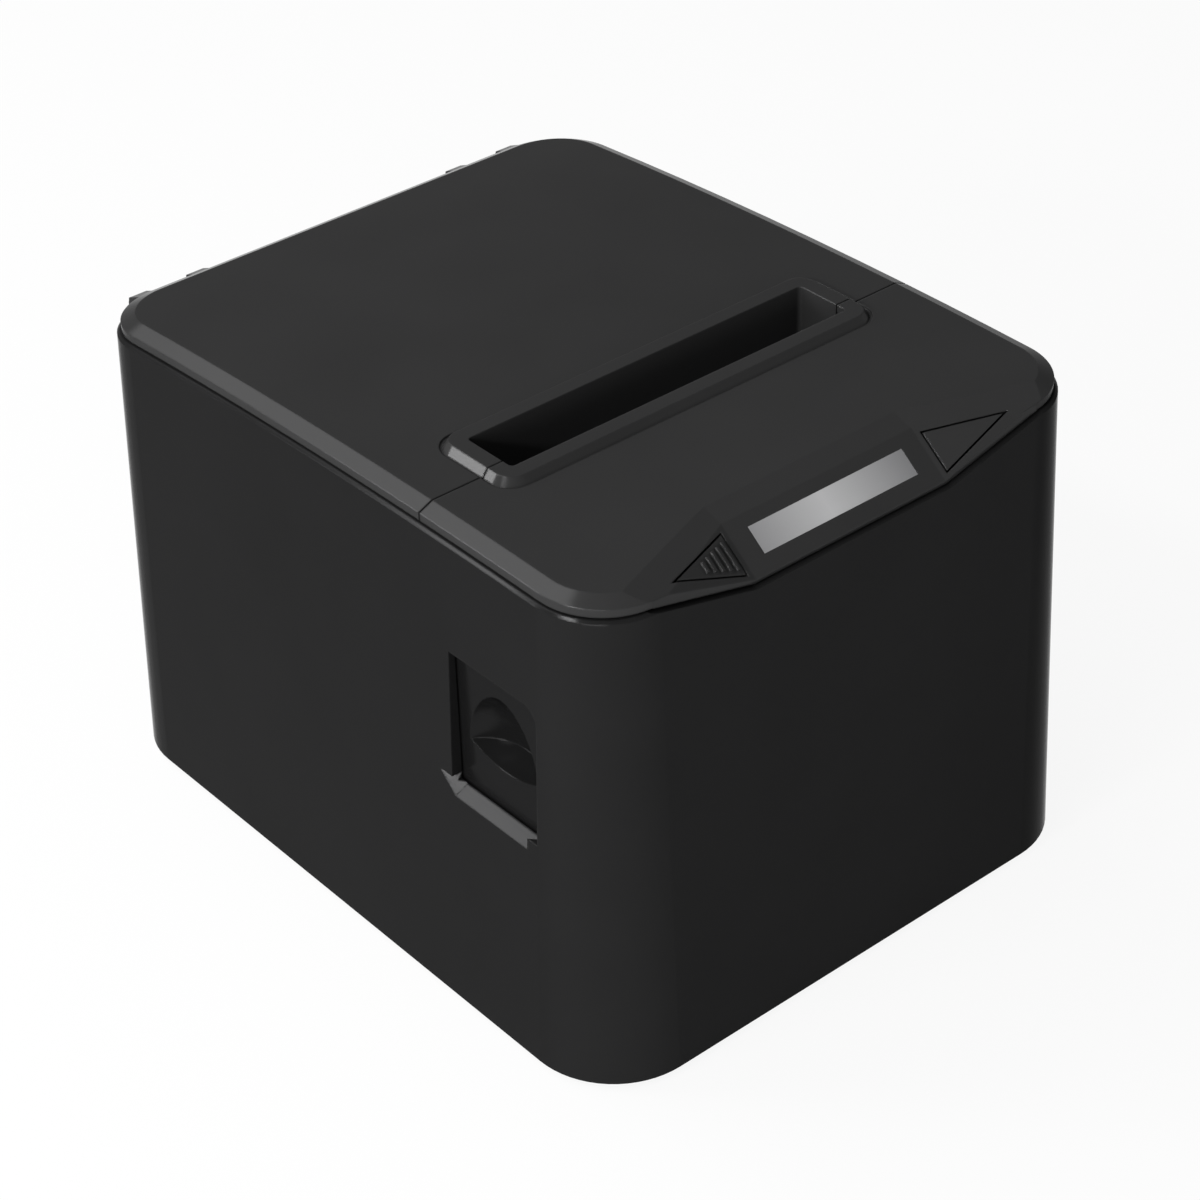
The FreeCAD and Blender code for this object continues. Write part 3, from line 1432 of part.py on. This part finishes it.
def platen_bracket():
    """Folded bracket under the lid: a top web and two cheeks that hold the platen bushes."""
    body = node(new_body("platen_bracket"))
    web = rectangle((-bracket_outer, bracket_outer), (-d.bracket_front, d.bracket_rear))
    pad(body, "XY", sides(web), (bracket_top - d.bracket_wall, bracket_top))
    cheek_foot = platen_height - d.cheek_foot_drop
    cheek_front = -d.cheek_ahead - d.cheek_half
    cheek_rear = d.cheek_half - d.cheek_ahead
    cheek = [
        (-d.bracket_front, bracket_top), (d.bracket_rear, bracket_top),
        (cheek_rear + OVERLAP, platen_height + d.cheek_waist_rise), (cheek_rear, cheek_foot),
        (cheek_front, cheek_foot), (-d.bracket_front, platen_height + d.cheek_waist_rise),
    ]
    pad(body, "YZ", sides(cheek), (-bracket_outer, -bracket_inner))
    pad(body, "YZ", sides(cheek), (bracket_inner, bracket_outer))
    round_edges(body, d.cheek_round, lambda edge: (
        runs_along(ACROSS)(edge) and edge.BoundBox.ZMax < number(cheek_foot) + OVERLAP))
    pocket(body, "YZ", ring(platen_spot, d.bush_radius), (-bracket_outer - OVERLAP, bracket_outer + OVERLAP))
    return body


# Print head

def tilted_box(name, across, outward, upward):
    """A block in the tilted frame of the print head."""
    block = doc.addObject("Part::Box", name)
    for place, (low, high) in zip(("Length", "Width", "Height"), (across, outward, upward)):
        bind(block, place, high - low)
    corner = head_place(outward[0], upward[0])
    block.Placement = Placement(Vector(), Rotation(ACROSS, number(d.head_tilt)))
    for place, size in zip("xyz", (across[0], corner[0], corner[1])):
        bind(block, f"Placement.Base.{place}", size)
    return block


# How far up the leaf springs start, bend and end, and where the grooves between the fins begin
SPRING_LEVELS = (-1, 3, 7)
FIN_LEVELS = (-6, -3, 6)


def head_springs():
    """Two bent leaf springs between the cross bar and the heat sink."""
    low, middle, high = SPRING_LEVELS
    crest = sink_back - d.spring_thickness
    leaf = OVERLAP - d.spring_thickness
    arch = [
        head_place(bar_front, low), head_place(sink_back, middle - OVERLAP),
        head_place(sink_back, middle + OVERLAP), head_place(bar_front, high),
        head_place(bar_front, high - OVERLAP), head_place(crest, middle + leaf),
        head_place(crest, middle - leaf), head_place(bar_front, low + OVERLAP),
    ]
    for side, sign in SIDES.items():
        body = node(new_body(f"head_spring_{side}"))
        across = sign * d.spring_across
        pad(body, "YZ", sides(arch), (across - d.spring_width / 2, across + d.spring_width / 2))


def print_head():
    """Thermal head on a finned heat sink that swings on a pin, pushed by two springs from a cross bar."""
    across = (-head_half, head_half)
    node(tilted_box("print_head", across, (sink_face, head_face), (-d.head_below, d.head_above)))
    slab_up = (-d.pivot_drop - d.sink_below_pivot, d.head_above)
    slab = tilted_box("heat_sink_slab", across, (sink_back, sink_face), slab_up)
    groove_outward = (sink_back, sink_back + d.fin_depth)
    grooves = [tilted_box(f"heat_sink_groove_{index}", across, groove_outward, (level, level + d.fin_width))
               for index, level in enumerate(FIN_LEVELS)]
    bore = rod("heat_sink_bore", pivot_spot, across, d.pivot_radius + d.running_fit)
    node(cut("heat_sink", slab, grooves + [bore]))
    node(rod("head_pivot", pivot_spot, (-plate_outer, plate_outer), d.pivot_radius))
    bar_outward = (bar_front - d.bar_thickness, bar_front)
    node(tilted_box("spring_bar", (-plate_inner, plate_inner), bar_outward, (-d.bar_low, d.bar_high)))


# Cutter

def cutter_blades():
    """Fixed blade on the lid's bracket, and the moving blade with its two racks and guide rails."""
    node(box("fixed_blade", (-bracket_inner, bracket_inner), (-d.fixed_edge, d.fixed_width - d.fixed_edge),
             (blade_level, blade_level + d.blade_thickness)))
    blade_top = blade_bottom + d.blade_thickness
    moving = node(new_body("moving_blade"))
    outline = [
        (-blade_half, -d.blade_rear), (blade_half, -d.blade_rear), (blade_half, -d.blade_tip),
        (0, -d.blade_tip - d.blade_vee), (-blade_half, -d.blade_tip),
    ]
    pad(moving, "XY", sides(outline), (blade_bottom, blade_top))
    rail = rectangle((-d.guide_front, -d.guide_rear), (blade_bottom - d.guide_floor, frame_top))
    groove = rectangle((-d.guide_front - OVERLAP, OVERLAP - d.guide_rear),
                       (blade_bottom - d.blade_gap, blade_top + d.blade_gap))
    for side, sign in SIDES.items():
        rack = node(new_body(f"blade_rack_{side}"))
        middle = sign * d.rack_across
        pad(rack, "YZ", sides(rack_outline()), (middle - d.rack_width / 2, middle + d.rack_width / 2))
        guide = node(new_body(f"blade_guide_{side}"))
        held = blade_half - d.guide_hold
        pad(guide, "YZ", sides(rail), ordered(sign * held, sign * plate_inner))
        pocket(guide, "YZ", sides(groove), ordered(sign * (held - OVERLAP), sign * (blade_half + d.blade_gap)))


def rack_outline():
    """Straight rack teeth hanging from the blade, one of them over the cutter shaft at rest."""
    module = d.tooth_module
    pitch = math.pi * module
    tip = rack_level - module
    foot = rack_level + 1.25 * module
    top = blade_bottom
    flare = math.tan(PRESSURE_ANGLE)
    half = pitch / 4 - d.mesh_play / 2
    corners = []
    for index in range(RACK_TEETH):
        middle = pitch * (index - RACK_TEETH + 3) - d.cutter_ahead
        corners += [
            (middle - half - 1.25 * module * flare, foot), (middle - half + module * flare, tip),
            (middle + half - module * flare, tip), (middle + half + 1.25 * module * flare, foot),
        ]
    last = corners[-1][0]
    first = corners[0][0]
    return corners + [(last, top), (first, top)]


# Latch

def latch_shaft():
    """Cross shaft with two hooks that reach up beside the platen bushes and a lever for the release key."""
    bar = rod("latch_shaft_bar", hook_shaft_spot, (-lever_outer, hook_outer), d.hook_shaft_radius)
    hub = d.hook_shaft_radius + OVERLAP
    back, level = hook_shaft_spot
    aside = -d.bush_collar - d.hook_gap
    hook = [
        (back - hub, level + hub), (back - hub, level - hub), (back + hub, level - hub),
        along_leave(-5, aside - 3), along_leave(2, aside - 0.4), along_leave(6.5, aside),
        along_leave(7.5, aside - 3.6), along_leave(0, aside - 5),
    ]
    pieces = [bar]
    for side, sign in SIDES.items():
        arm = new_body(f"latch_hook_{side}")
        pad(arm, "YZ", sides(hook), ordered(sign * hook_inner, sign * hook_outer))
        pieces.append(arm)
    lever = new_body("latch_lever")
    tip_front = lever_peg_spot[0] - 2 * d.lever_peg_radius
    tip_top = lever_peg_height - d.lever_peg_radius - d.seat_gap
    lever_outline = [
        (back + hub, level + hub), (back + hub, level - hub),
        (tip_front, tip_top - d.lever_tip), (tip_front, tip_top),
    ]
    pad(lever, "YZ", sides(lever_outline), (-lever_outer, -lever_inner))
    node(fuse("latch_shaft", pieces + [lever]))


# Electrics

def main_board():
    """Circuit board on the tray's posts, with a buzzer."""
    across = (-d.board_half, d.board_half)
    node(box("main_board", across, (d.board_front, board_rear), (d.board_level, board_top)))
    buzzer_spot = (-d.buzzer_aside, d.buzzer_back)
    node(rod("buzzer", buzzer_spot, (board_top, board_top + d.buzzer_height), d.buzzer_radius, UP))


def socket(name, depth, hollows):
    """A socket on the board's rear edge; each hollow is a half width, a low and high level and a depth."""
    middle, width, height = PORTS[name]
    shell = box(f"{name}_shell", (middle - width / 2, middle + width / 2),
                (rear_face - depth, rear_face), (board_top, board_top + height))
    tools = [
        box(f"{name}_hollow_{index}", (middle - half, middle + half),
            (rear_face - deep, rear_face + 1), (board_top + low, board_top + high))
        for index, (half, low, high, deep) in enumerate(hollows)
    ]
    node(cut(name, shell, tools))


def sockets():
    """Power jack, data, network and drawer sockets."""
    socket("data_socket", 16, [(4.2, 1.6, 3.6, 9), (4.2, 7.2, 9.3, 9), (4.2, 3.6, 7.2, 1.2)])
    socket("network_socket", 20, [(5.9, 2.2, 10.2, 14), (2, 10.2, 11.6, 9)])
    socket("drawer_socket", 17, [(4.9, 2.2, 9, 12), (1.8, 9, 10.6, 8)])
    middle, width, height = PORTS["power_jack"]
    level = board_top + height / 2
    shell = box("power_jack_shell", (middle - width / 2, middle + width / 2),
                (rear_face - 14, rear_face), (board_top, board_top + height))
    bore = rod("power_jack_bore", (middle, level), (rear_face - 10, rear_face + 1), 3.2, BACK)
    pin = rod("power_jack_pin", (middle, level), (rear_face - 11, rear_face - 1), 1, BACK)
    node(fuse("power_jack", [cut("power_jack_body", shell, [bore]), pin]))


def power_switch():
    """Rocker switch in the rear wall: a case and a rocker that tilts on its own round pin."""
    low, high = switch_up
    well_across = (switch_across[0] + d.switch_frame, switch_across[1] - d.switch_frame)
    pin_spot = (switch_face - d.rocker_sunk, switch_level)
    case_back = (switch_face - d.switch_depth, switch_face + d.switch_proud)
    case = box("power_switch_case", switch_across, case_back, switch_up)
    well = box("power_switch_well", well_across, (switch_face - d.switch_well, switch_face + OVERLAP),
               (low + d.switch_frame + d.rocker_gap, high - d.switch_frame - d.rocker_gap))
    bearing = rod("power_switch_bearing", pin_spot, switch_across, d.rocker_pin_radius + d.running_fit)
    node(cut("power_switch", case, [well, bearing]))
    block = new_body("power_rocker_block")
    tall = d.rocker_tall
    press = d.rocker_press
    foot = switch_face - d.rocker_sunk - d.rocker_pin_radius - d.rocker_gap
    outline = [
        (foot, switch_level - d.rocker_foot), (switch_face - d.rocker_foot, switch_level - tall),
        (switch_face - press, switch_level - tall), (switch_face - press / 2, switch_level),
        (switch_face + press, switch_level + tall - press / 2), (switch_face - press, switch_level + tall),
        (foot, switch_level + d.rocker_foot),
    ]
    pad(block, "YZ", sides(outline), (well_across[0] + d.rocker_gap, well_across[1] - d.rocker_gap))
    pin_span = (switch_across[0] + d.rocker_gap, switch_across[1] - d.rocker_gap)
    node(fuse("power_rocker", [block, rod("power_rocker_pin", pin_spot, pin_span, d.rocker_pin_radius)]))


def panel_electrics():
    """Small board under the control panel with a switch under each key."""
    half_board = plate_inner - d.panel_board_room
    across = (-half_board, half_board)
    back = (panel_board_front, panel_board_rear)
    node(box("panel_board", across, back, (panel_board_low, panel_board_top)))
    half = d.key_switch_size / 2
    case_top = panel_board_top + d.key_switch_height
    for side, sign in SIDES.items():
        body = node(new_body(f"key_switch_{side}"))
        spot = (sign * d.key_switch_across, panel_board_front + half)
        case = rectangle((spot[0] - half, spot[0] + half), (spot[1] - half, spot[1] + half))
        pad(body, "XY", sides(case), (panel_board_top, case_top))
        pad(body, "XY", ring(spot, d.key_switch_stem_radius), (panel_board_top, case_top + d.key_switch_stem))


def near_end_sensor():
    """Sensor against the bucket's left wall that looks for the end of the roll."""
    back = (bucket_back - d.sensor_half, bucket_back + d.sensor_half)
    low = bucket_height - d.sensor_low
    node(box("near_end_sensor", (-plate_inner, -bucket_outer_half), back, (low, low + d.sensor_height)))


def check_and_write():
    """Stops on any failed object or bad solid, then writes every piece to its own file."""
    doc.recompute()
    failed = [item.Name for item in doc.Objects if "Invalid" in item.State or "Error" in item.State]
    if failed:
        raise RuntimeError(f"failed objects: {failed}")
    os.makedirs("parts", exist_ok=True)
    for piece in nodes:
        shape = piece.Shape
        if shape.isNull() or not shape.isValid() or len(shape.Solids) != 1:
            raise RuntimeError(f"{piece.Label} is not one good solid")
        shape.exportStep(f"parts/{piece.Label}.step")
    print(f"wrote {len(nodes)} pieces")


PIECES = (
    main_housing, base_tray, rubber_feet, case_screws, front_cover, window_lens, paper_lid, hinge_pins,
    release_key, paper_bucket, mech_frame, feed_train, cutter_train, motors, platen_set, platen_bracket,
    print_head, head_springs, cutter_blades, latch_shaft, main_board, sockets, power_switch,
    panel_electrics, near_end_sensor,
)
for build in PIECES:
    build()
panel_key("feed_key", SIDES["left"], ribbed=True)
panel_key("plain_key", SIDES["right"], ribbed=False)
check_and_write()
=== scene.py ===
"""Looks of the receipt printer: satin black mouldings, the bright works inside, and a pale studio."""

import json

import bpy
from mathutils import Matrix, Vector


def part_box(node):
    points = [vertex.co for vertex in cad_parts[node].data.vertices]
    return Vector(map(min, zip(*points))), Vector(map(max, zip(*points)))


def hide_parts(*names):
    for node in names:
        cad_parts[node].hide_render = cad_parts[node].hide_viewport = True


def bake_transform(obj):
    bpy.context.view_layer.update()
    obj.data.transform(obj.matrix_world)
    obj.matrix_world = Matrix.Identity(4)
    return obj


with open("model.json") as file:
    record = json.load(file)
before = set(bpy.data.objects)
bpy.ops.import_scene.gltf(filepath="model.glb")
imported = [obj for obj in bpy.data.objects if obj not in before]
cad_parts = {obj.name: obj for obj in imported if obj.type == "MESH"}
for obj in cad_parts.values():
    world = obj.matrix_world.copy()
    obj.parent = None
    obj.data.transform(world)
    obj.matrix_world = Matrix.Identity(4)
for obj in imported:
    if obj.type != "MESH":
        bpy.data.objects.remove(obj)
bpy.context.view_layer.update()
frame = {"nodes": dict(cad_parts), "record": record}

# Camera, as a place in metres and three unit directions
LENS_MM = 91.8
SENSOR_MM = 36
CAMERA_PLACE = (-0.3582, -0.4405, 0.4452)
CAMERA_RIGHT = (0.7603, -0.6491, -0.0246)
CAMERA_UP = (0.3867, 0.4220, 0.8200)
CAMERA_BACK = (-0.5219, -0.6330, 0.5718)
CAMERA_NEAR = 0.01

# Studio: the floor's reach in metres, greys from nought to one, and the slopes between which the backdrop turns grey
FLOOR_REACH = 4
FLOOR_WHITE = 0.72
FLOOR_CLOUD = 0.99
FLOOR_CLOUD_SCALE = 3
FLOOR_CLOUD_DETAIL = 2
FLOOR_GLOW = 0.9
BACKDROP_WHITE = 1.0
BACKDROP_RISE = (0.15, 0.4)
CEILING_GREY = 0.3
ROOM_GREY = 0.22

# Soft lights: place and size in metres, power in watts, all turned towards one point of the printer
LIGHT_AIM = (0, 0, 0.08)
LIGHTS = {
    "key": {"place": (-1.15, -0.3, 0.68), "size": (0.5, 0.12), "power": 8.6},
    "high": {"place": (-0.86, 0, 1.1), "size": (0.36, 0.13), "power": 5.5},
    "rear": {"place": (-0.92, 0.82, 0.6), "size": (0.3, 0.36), "power": 5},
    "front": {"place": (-0.97, -0.84, 0.26), "size": (0.6, 0.4), "power": 6},
    "top": {"place": (-0.3, 0.62, 1), "size": (0.9, 0.9), "power": 8.2},
}

# Finishes: colour, roughness, strength of the plain reflection, share of metal, reflection at a grazing view, grain
FINISHES = {
    "case_plastic": {"colour": (0.0178, 0.0178, 0.018), "rough": 0.17, "sheen": 0.02, "metal": 0.42,
                     "rim": 0.25, "grain": 0.05},
    "top_plastic": {"colour": (0.04, 0.04, 0.0403), "rough": 0.17, "sheen": 0.02, "metal": 0.42,
                    "rim": 0.4, "grain": 0.05},
    "key_plastic": {"colour": (0.016, 0.016, 0.0162), "rough": 0.17, "sheen": 0.02, "metal": 0.56,
                    "rim": 0.4, "grain": 0.05},
    "foot_rubber": {"colour": (0.02, 0.02, 0.02), "rough": 0.8, "sheen": 0.3, "grain": 0.2},
    "screw_steel": {"colour": (0.5, 0.5, 0.5), "rough": 0.35, "metal": 1, "grain": 0.05},
    "bucket_plastic": {"colour": (0.02, 0.02, 0.021), "rough": 0.5, "sheen": 0.3, "grain": 0.05},
    "frame_steel": {"colour": (0.55, 0.55, 0.53), "rough": 0.38, "metal": 1, "grain": 0.1},
    "shaft_steel": {"colour": (0.62, 0.62, 0.62), "rough": 0.22, "metal": 1, "grain": 0.03},
    "blade_steel": {"colour": (0.56, 0.56, 0.57), "rough": 0.32, "metal": 1, "grain": 0.05},
    "motor_steel": {"colour": (0.35, 0.35, 0.36), "rough": 0.4, "metal": 1, "grain": 0.08},
    "gear_plastic": {"colour": (0.72, 0.7, 0.64), "rough": 0.45, "grain": 0.03},
    "platen_rubber": {"colour": (0.03, 0.03, 0.032), "rough": 0.7, "sheen": 0.3, "grain": 0.1},
    "head_ceramic": {"colour": (0.7, 0.67, 0.6), "rough": 0.15, "grain": 0.02},
    "sink_aluminium": {"colour": (0.7, 0.71, 0.72), "rough": 0.35, "metal": 1, "grain": 0.1},
    "board_laminate": {"colour": (0.015, 0.1, 0.05), "rough": 0.3, "grain": 0.1},
    "socket_metal": {"colour": (0.6, 0.6, 0.58), "rough": 0.3, "metal": 1, "grain": 0.06},
    "socket_plastic": {"colour": (0.015, 0.015, 0.016), "rough": 0.4, "sheen": 0.4, "grain": 0.04},
    "switch_plastic": {"colour": (0.018, 0.018, 0.019), "rough": 0.3, "sheen": 0.4, "grain": 0.02},
}
# Pieces whose look differs from their slot's
OWN_FINISH = {"release_key": "key_plastic"}

# Surface detail: scales per metre, depths and radii in metres, and how far the clouding shifts a value
GRAIN_SCALE = 1800
GRAIN_DETAIL = 2
GRAIN_DEPTH = 0.0001
CLOUD_SCALE = 35
CLOUD_DETAIL = 3
CLOUD_SHADE = 0.08
CLOUD_ROUGH = 0.05
NOISE_LOW, NOISE_HIGH = 0.3, 0.7
EDGE_ROUND = 0.0005

# Window strip: its colour at the left end, at the palest spot of a painted reflection and at the right end, and its
# gloss
WINDOW_LEFT = (0.235, 0.235, 0.24)
WINDOW_PAINTED_REFLECTION = (0.44, 0.44, 0.445)
WINDOW_RIGHT = (0.18, 0.18, 0.185)
WINDOW_PAINTED_REFLECTION_SPOT = 0.45
WINDOW_ROUGH = 0.3
WINDOW_COAT = 0.5

# Sockets of the colour mix node, whose names are shared by its other kinds
MIX_SHARE, MIX_FIRST, MIX_SECOND, MIX_RESULT = 0, 6, 7, 2


def shader(name):
    """A new node material with its tree, its surface node and a coordinate node."""
    material = bpy.data.materials.new(name)
    material.use_nodes = True
    tree = material.node_tree
    surface = tree.nodes["Principled BSDF"]
    place = tree.nodes.new("ShaderNodeTexCoord")
    return material, tree, surface, place


def noise(tree, place, scale, detail):
    """A noise field in the printer's own frame."""
    field = tree.nodes.new("ShaderNodeTexNoise")
    field.inputs["Scale"].default_value = scale
    field.inputs["Detail"].default_value = detail
    tree.links.new(place.outputs["Object"], field.inputs["Vector"])
    return field


def spread(tree, field, low, high):
    """A noise field spread over a range of values."""
    reach = tree.nodes.new("ShaderNodeMapRange")
    reach.inputs["From Min"].default_value = NOISE_LOW
    reach.inputs["From Max"].default_value = NOISE_HIGH
    reach.inputs["To Min"].default_value = low
    reach.inputs["To Max"].default_value = high
    tree.links.new(field.outputs["Fac"], reach.inputs["Value"])
    return reach


def finish_material(name, colour, rough, grain, sheen=0.5, metal=0, rim=1):
    """A moulded or metal surface with a fine grain, faint clouding and softly broken edges."""
    material, tree, surface, place = shader(name)
    cloud = noise(tree, place, CLOUD_SCALE, CLOUD_DETAIL)
    shade = tree.nodes.new("ShaderNodeMix")
    shade.data_type = "RGBA"
    shade.inputs[MIX_FIRST].default_value = (*[part * (1 - CLOUD_SHADE) for part in colour], 1)
    shade.inputs[MIX_SECOND].default_value = (*[part * (1 + CLOUD_SHADE) for part in colour], 1)
    tree.links.new(cloud.outputs["Fac"], shade.inputs[MIX_SHARE])
    tree.links.new(shade.outputs[MIX_RESULT], surface.inputs["Base Color"])
    gloss = spread(tree, cloud, rough * (1 - CLOUD_ROUGH), rough * (1 + CLOUD_ROUGH))
    tree.links.new(gloss.outputs["Result"], surface.inputs["Roughness"])
    surface.inputs["Metallic"].default_value = metal
    surface.inputs["Specular IOR Level"].default_value = sheen
    surface.inputs["Specular Tint"].default_value = (rim, rim, rim, 1)
    edge = tree.nodes.new("ShaderNodeBevel")
    edge.inputs["Radius"].default_value = EDGE_ROUND
    bump = tree.nodes.new("ShaderNodeBump")
    bump.inputs["Strength"].default_value = grain
    bump.inputs["Distance"].default_value = GRAIN_DEPTH
    tree.links.new(noise(tree, place, GRAIN_SCALE, GRAIN_DETAIL).outputs["Fac"], bump.inputs["Height"])
    tree.links.new(edge.outputs["Normal"], bump.inputs["Normal"])
    tree.links.new(bump.outputs["Normal"], surface.inputs["Normal"])
    return material


def lens_material(name):
    """A glossy strip whose colour carries a painted reflection, palest towards its middle."""
    material, tree, surface, place = shader(name)
    axes = tree.nodes.new("ShaderNodeSeparateXYZ")
    tree.links.new(place.outputs["Object"], axes.inputs["Vector"])
    low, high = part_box("window_lens")
    along = tree.nodes.new("ShaderNodeMapRange")
    along.inputs["From Min"].default_value = low.x
    along.inputs["From Max"].default_value = high.x
    tree.links.new(axes.outputs["X"], along.inputs["Value"])
    # The colour ramp paints a reflection on the strip: pale near the middle, darker towards both ends.
    ramp = tree.nodes.new("ShaderNodeValToRGB")
    stops = ramp.color_ramp.elements
    stops[0].color = (*WINDOW_LEFT, 1)
    stops[1].color = (*WINDOW_RIGHT, 1)
    stops.new(WINDOW_PAINTED_REFLECTION_SPOT).color = (*WINDOW_PAINTED_REFLECTION, 1)
    tree.links.new(along.outputs["Result"], ramp.inputs["Fac"])
    tree.links.new(ramp.outputs["Color"], surface.inputs["Base Color"])
    surface.inputs["Roughness"].default_value = WINDOW_ROUGH
    surface.inputs["Coat Weight"].default_value = WINDOW_COAT
    return material


def paint_nodes():
    """Gives every solid piece its own finish, or else that of its slot in the record."""
    materials = {slot: finish_material(slot, **finish) for slot, finish in FINISHES.items()}
    materials["lens_plastic"] = lens_material("lens_plastic")
    for part in frame["record"]["subparts"]:
        mesh = frame["nodes"][part["node"]].data
        mesh.materials.clear()
        mesh.materials.append(materials[OWN_FINISH.get(part["node"], part["material_slot"])])


def flex_springs():
    """Copies of the leaf springs, with their feet on the cross bar and their crest on the heat sink, stand in for
    the hidden solid ones; they keep their rest shape.
    """
    for side in ("left", "right"):
        solid = frame["nodes"][f"head_spring_{side}"]
        leaf = bpy.data.objects.new(f"head_leaf_{side}", solid.data.copy())
        bpy.context.scene.collection.objects.link(leaf)
        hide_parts(f"head_spring_{side}")
        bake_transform(leaf)


def seen_directly(tree):
    """One for rays from the eye, a reflection or a clear piece, and nought for the light on the printer."""
    path = tree.nodes.new("ShaderNodeLightPath")
    seen = path.outputs["Is Camera Ray"]
    for kind in ("Is Glossy Ray", "Is Transmission Ray"):
        either = tree.nodes.new("ShaderNodeMath")
        either.operation = "MAXIMUM"
        tree.links.new(seen, either.inputs[0])
        tree.links.new(path.outputs[kind], either.inputs[1])
        seen = either.outputs["Value"]
    return seen


def studio_floor():
    """A white floor under the feet, which keeps a faint shadow."""
    corners = [(-FLOOR_REACH, -FLOOR_REACH, 0), (FLOOR_REACH, -FLOOR_REACH, 0),
               (FLOOR_REACH, FLOOR_REACH, 0), (-FLOOR_REACH, FLOOR_REACH, 0)]
    mesh = bpy.data.meshes.new("floor")
    mesh.from_pydata(corners, [], [(0, 1, 2, 3)])
    floor = bpy.data.objects.new("floor", mesh)
    bpy.context.scene.collection.objects.link(floor)
    material, tree, surface, place = shader("floor")
    cloud = noise(tree, place, FLOOR_CLOUD_SCALE, FLOOR_CLOUD_DETAIL)
    tone = spread(tree, cloud, FLOOR_WHITE * FLOOR_CLOUD, FLOOR_WHITE)
    tree.links.new(tone.outputs["Result"], surface.inputs["Base Color"])
    surface.inputs["Roughness"].default_value = 1
    surface.inputs["Specular IOR Level"].default_value = 0
    glow = tree.nodes.new("ShaderNodeEmission")
    share = tree.nodes.new("ShaderNodeMath")
    share.operation = "MULTIPLY"
    share.inputs[1].default_value = FLOOR_GLOW
    tree.links.new(seen_directly(tree), share.inputs[0])
    blend = tree.nodes.new("ShaderNodeMixShader")
    tree.links.new(share.outputs["Value"], blend.inputs["Fac"])
    tree.links.new(surface.outputs["BSDF"], blend.inputs[1])
    tree.links.new(glow.outputs["Emission"], blend.inputs[2])
    tree.links.new(blend.outputs["Shader"], tree.nodes["Material Output"].inputs["Surface"])
    mesh.materials.append(material)


def soft_light(name, place, size, power):
    """A soft light of a width and a height, turned towards the printer."""
    lamp = bpy.data.lights.new(name, "AREA")
    lamp.shape = "RECTANGLE"
    lamp.size, lamp.size_y = size
    lamp.energy = power
    light = bpy.data.objects.new(name, lamp)
    light.location = place
    light.rotation_euler = (Vector(LIGHT_AIM) - Vector(place)).to_track_quat("-Z", "Y").to_euler()
    light.visible_camera = False
    bpy.context.scene.collection.objects.link(light)


def studio_world():
    """A white backdrop round the horizon under a grey ceiling, and an even room light on the printer."""
    world = bpy.data.worlds.new("studio")
    bpy.context.scene.world = world
    world.use_nodes = True
    tree = world.node_tree
    background = tree.nodes["Background"]
    tone = tree.nodes.new("ShaderNodeMix")
    tone.data_type = "RGBA"
    tone.inputs[MIX_FIRST].default_value = (ROOM_GREY, ROOM_GREY, ROOM_GREY, 1)
    place = tree.nodes.new("ShaderNodeTexCoord")
    axes = tree.nodes.new("ShaderNodeSeparateXYZ")
    tree.links.new(place.outputs["Generated"], axes.inputs["Vector"])
    fall = tree.nodes.new("ShaderNodeMapRange")
    low, high = BACKDROP_RISE
    fall.inputs["From Min"].default_value = low
    fall.inputs["From Max"].default_value = high
    fall.inputs["To Min"].default_value = BACKDROP_WHITE
    fall.inputs["To Max"].default_value = CEILING_GREY
    tree.links.new(axes.outputs["Z"], fall.inputs["Value"])
    tree.links.new(fall.outputs["Result"], tone.inputs[MIX_SECOND])
    tree.links.new(seen_directly(tree), tone.inputs[MIX_SHARE])
    tree.links.new(tone.outputs[MIX_RESULT], background.inputs["Color"])


def photo_camera():
    """The photo's view, with no shift and no blur."""
    lens = bpy.data.cameras.new("camera")
    lens.sensor_width = SENSOR_MM
    lens.lens = LENS_MM
    lens.clip_start = CAMERA_NEAR
    camera = bpy.data.objects.new("camera", lens)
    turn = Matrix((CAMERA_RIGHT, CAMERA_UP, CAMERA_BACK)).transposed()
    camera.matrix_world = Matrix.Translation(CAMERA_PLACE) @ turn.to_4x4()
    bpy.context.scene.collection.objects.link(camera)
    bpy.context.scene.camera = camera


paint_nodes()
flex_springs()
studio_floor()
studio_world()
for light_name, light in LIGHTS.items():
    soft_light(light_name, **light)
photo_camera()
bpy.context.scene.view_settings.view_transform = "Standard"
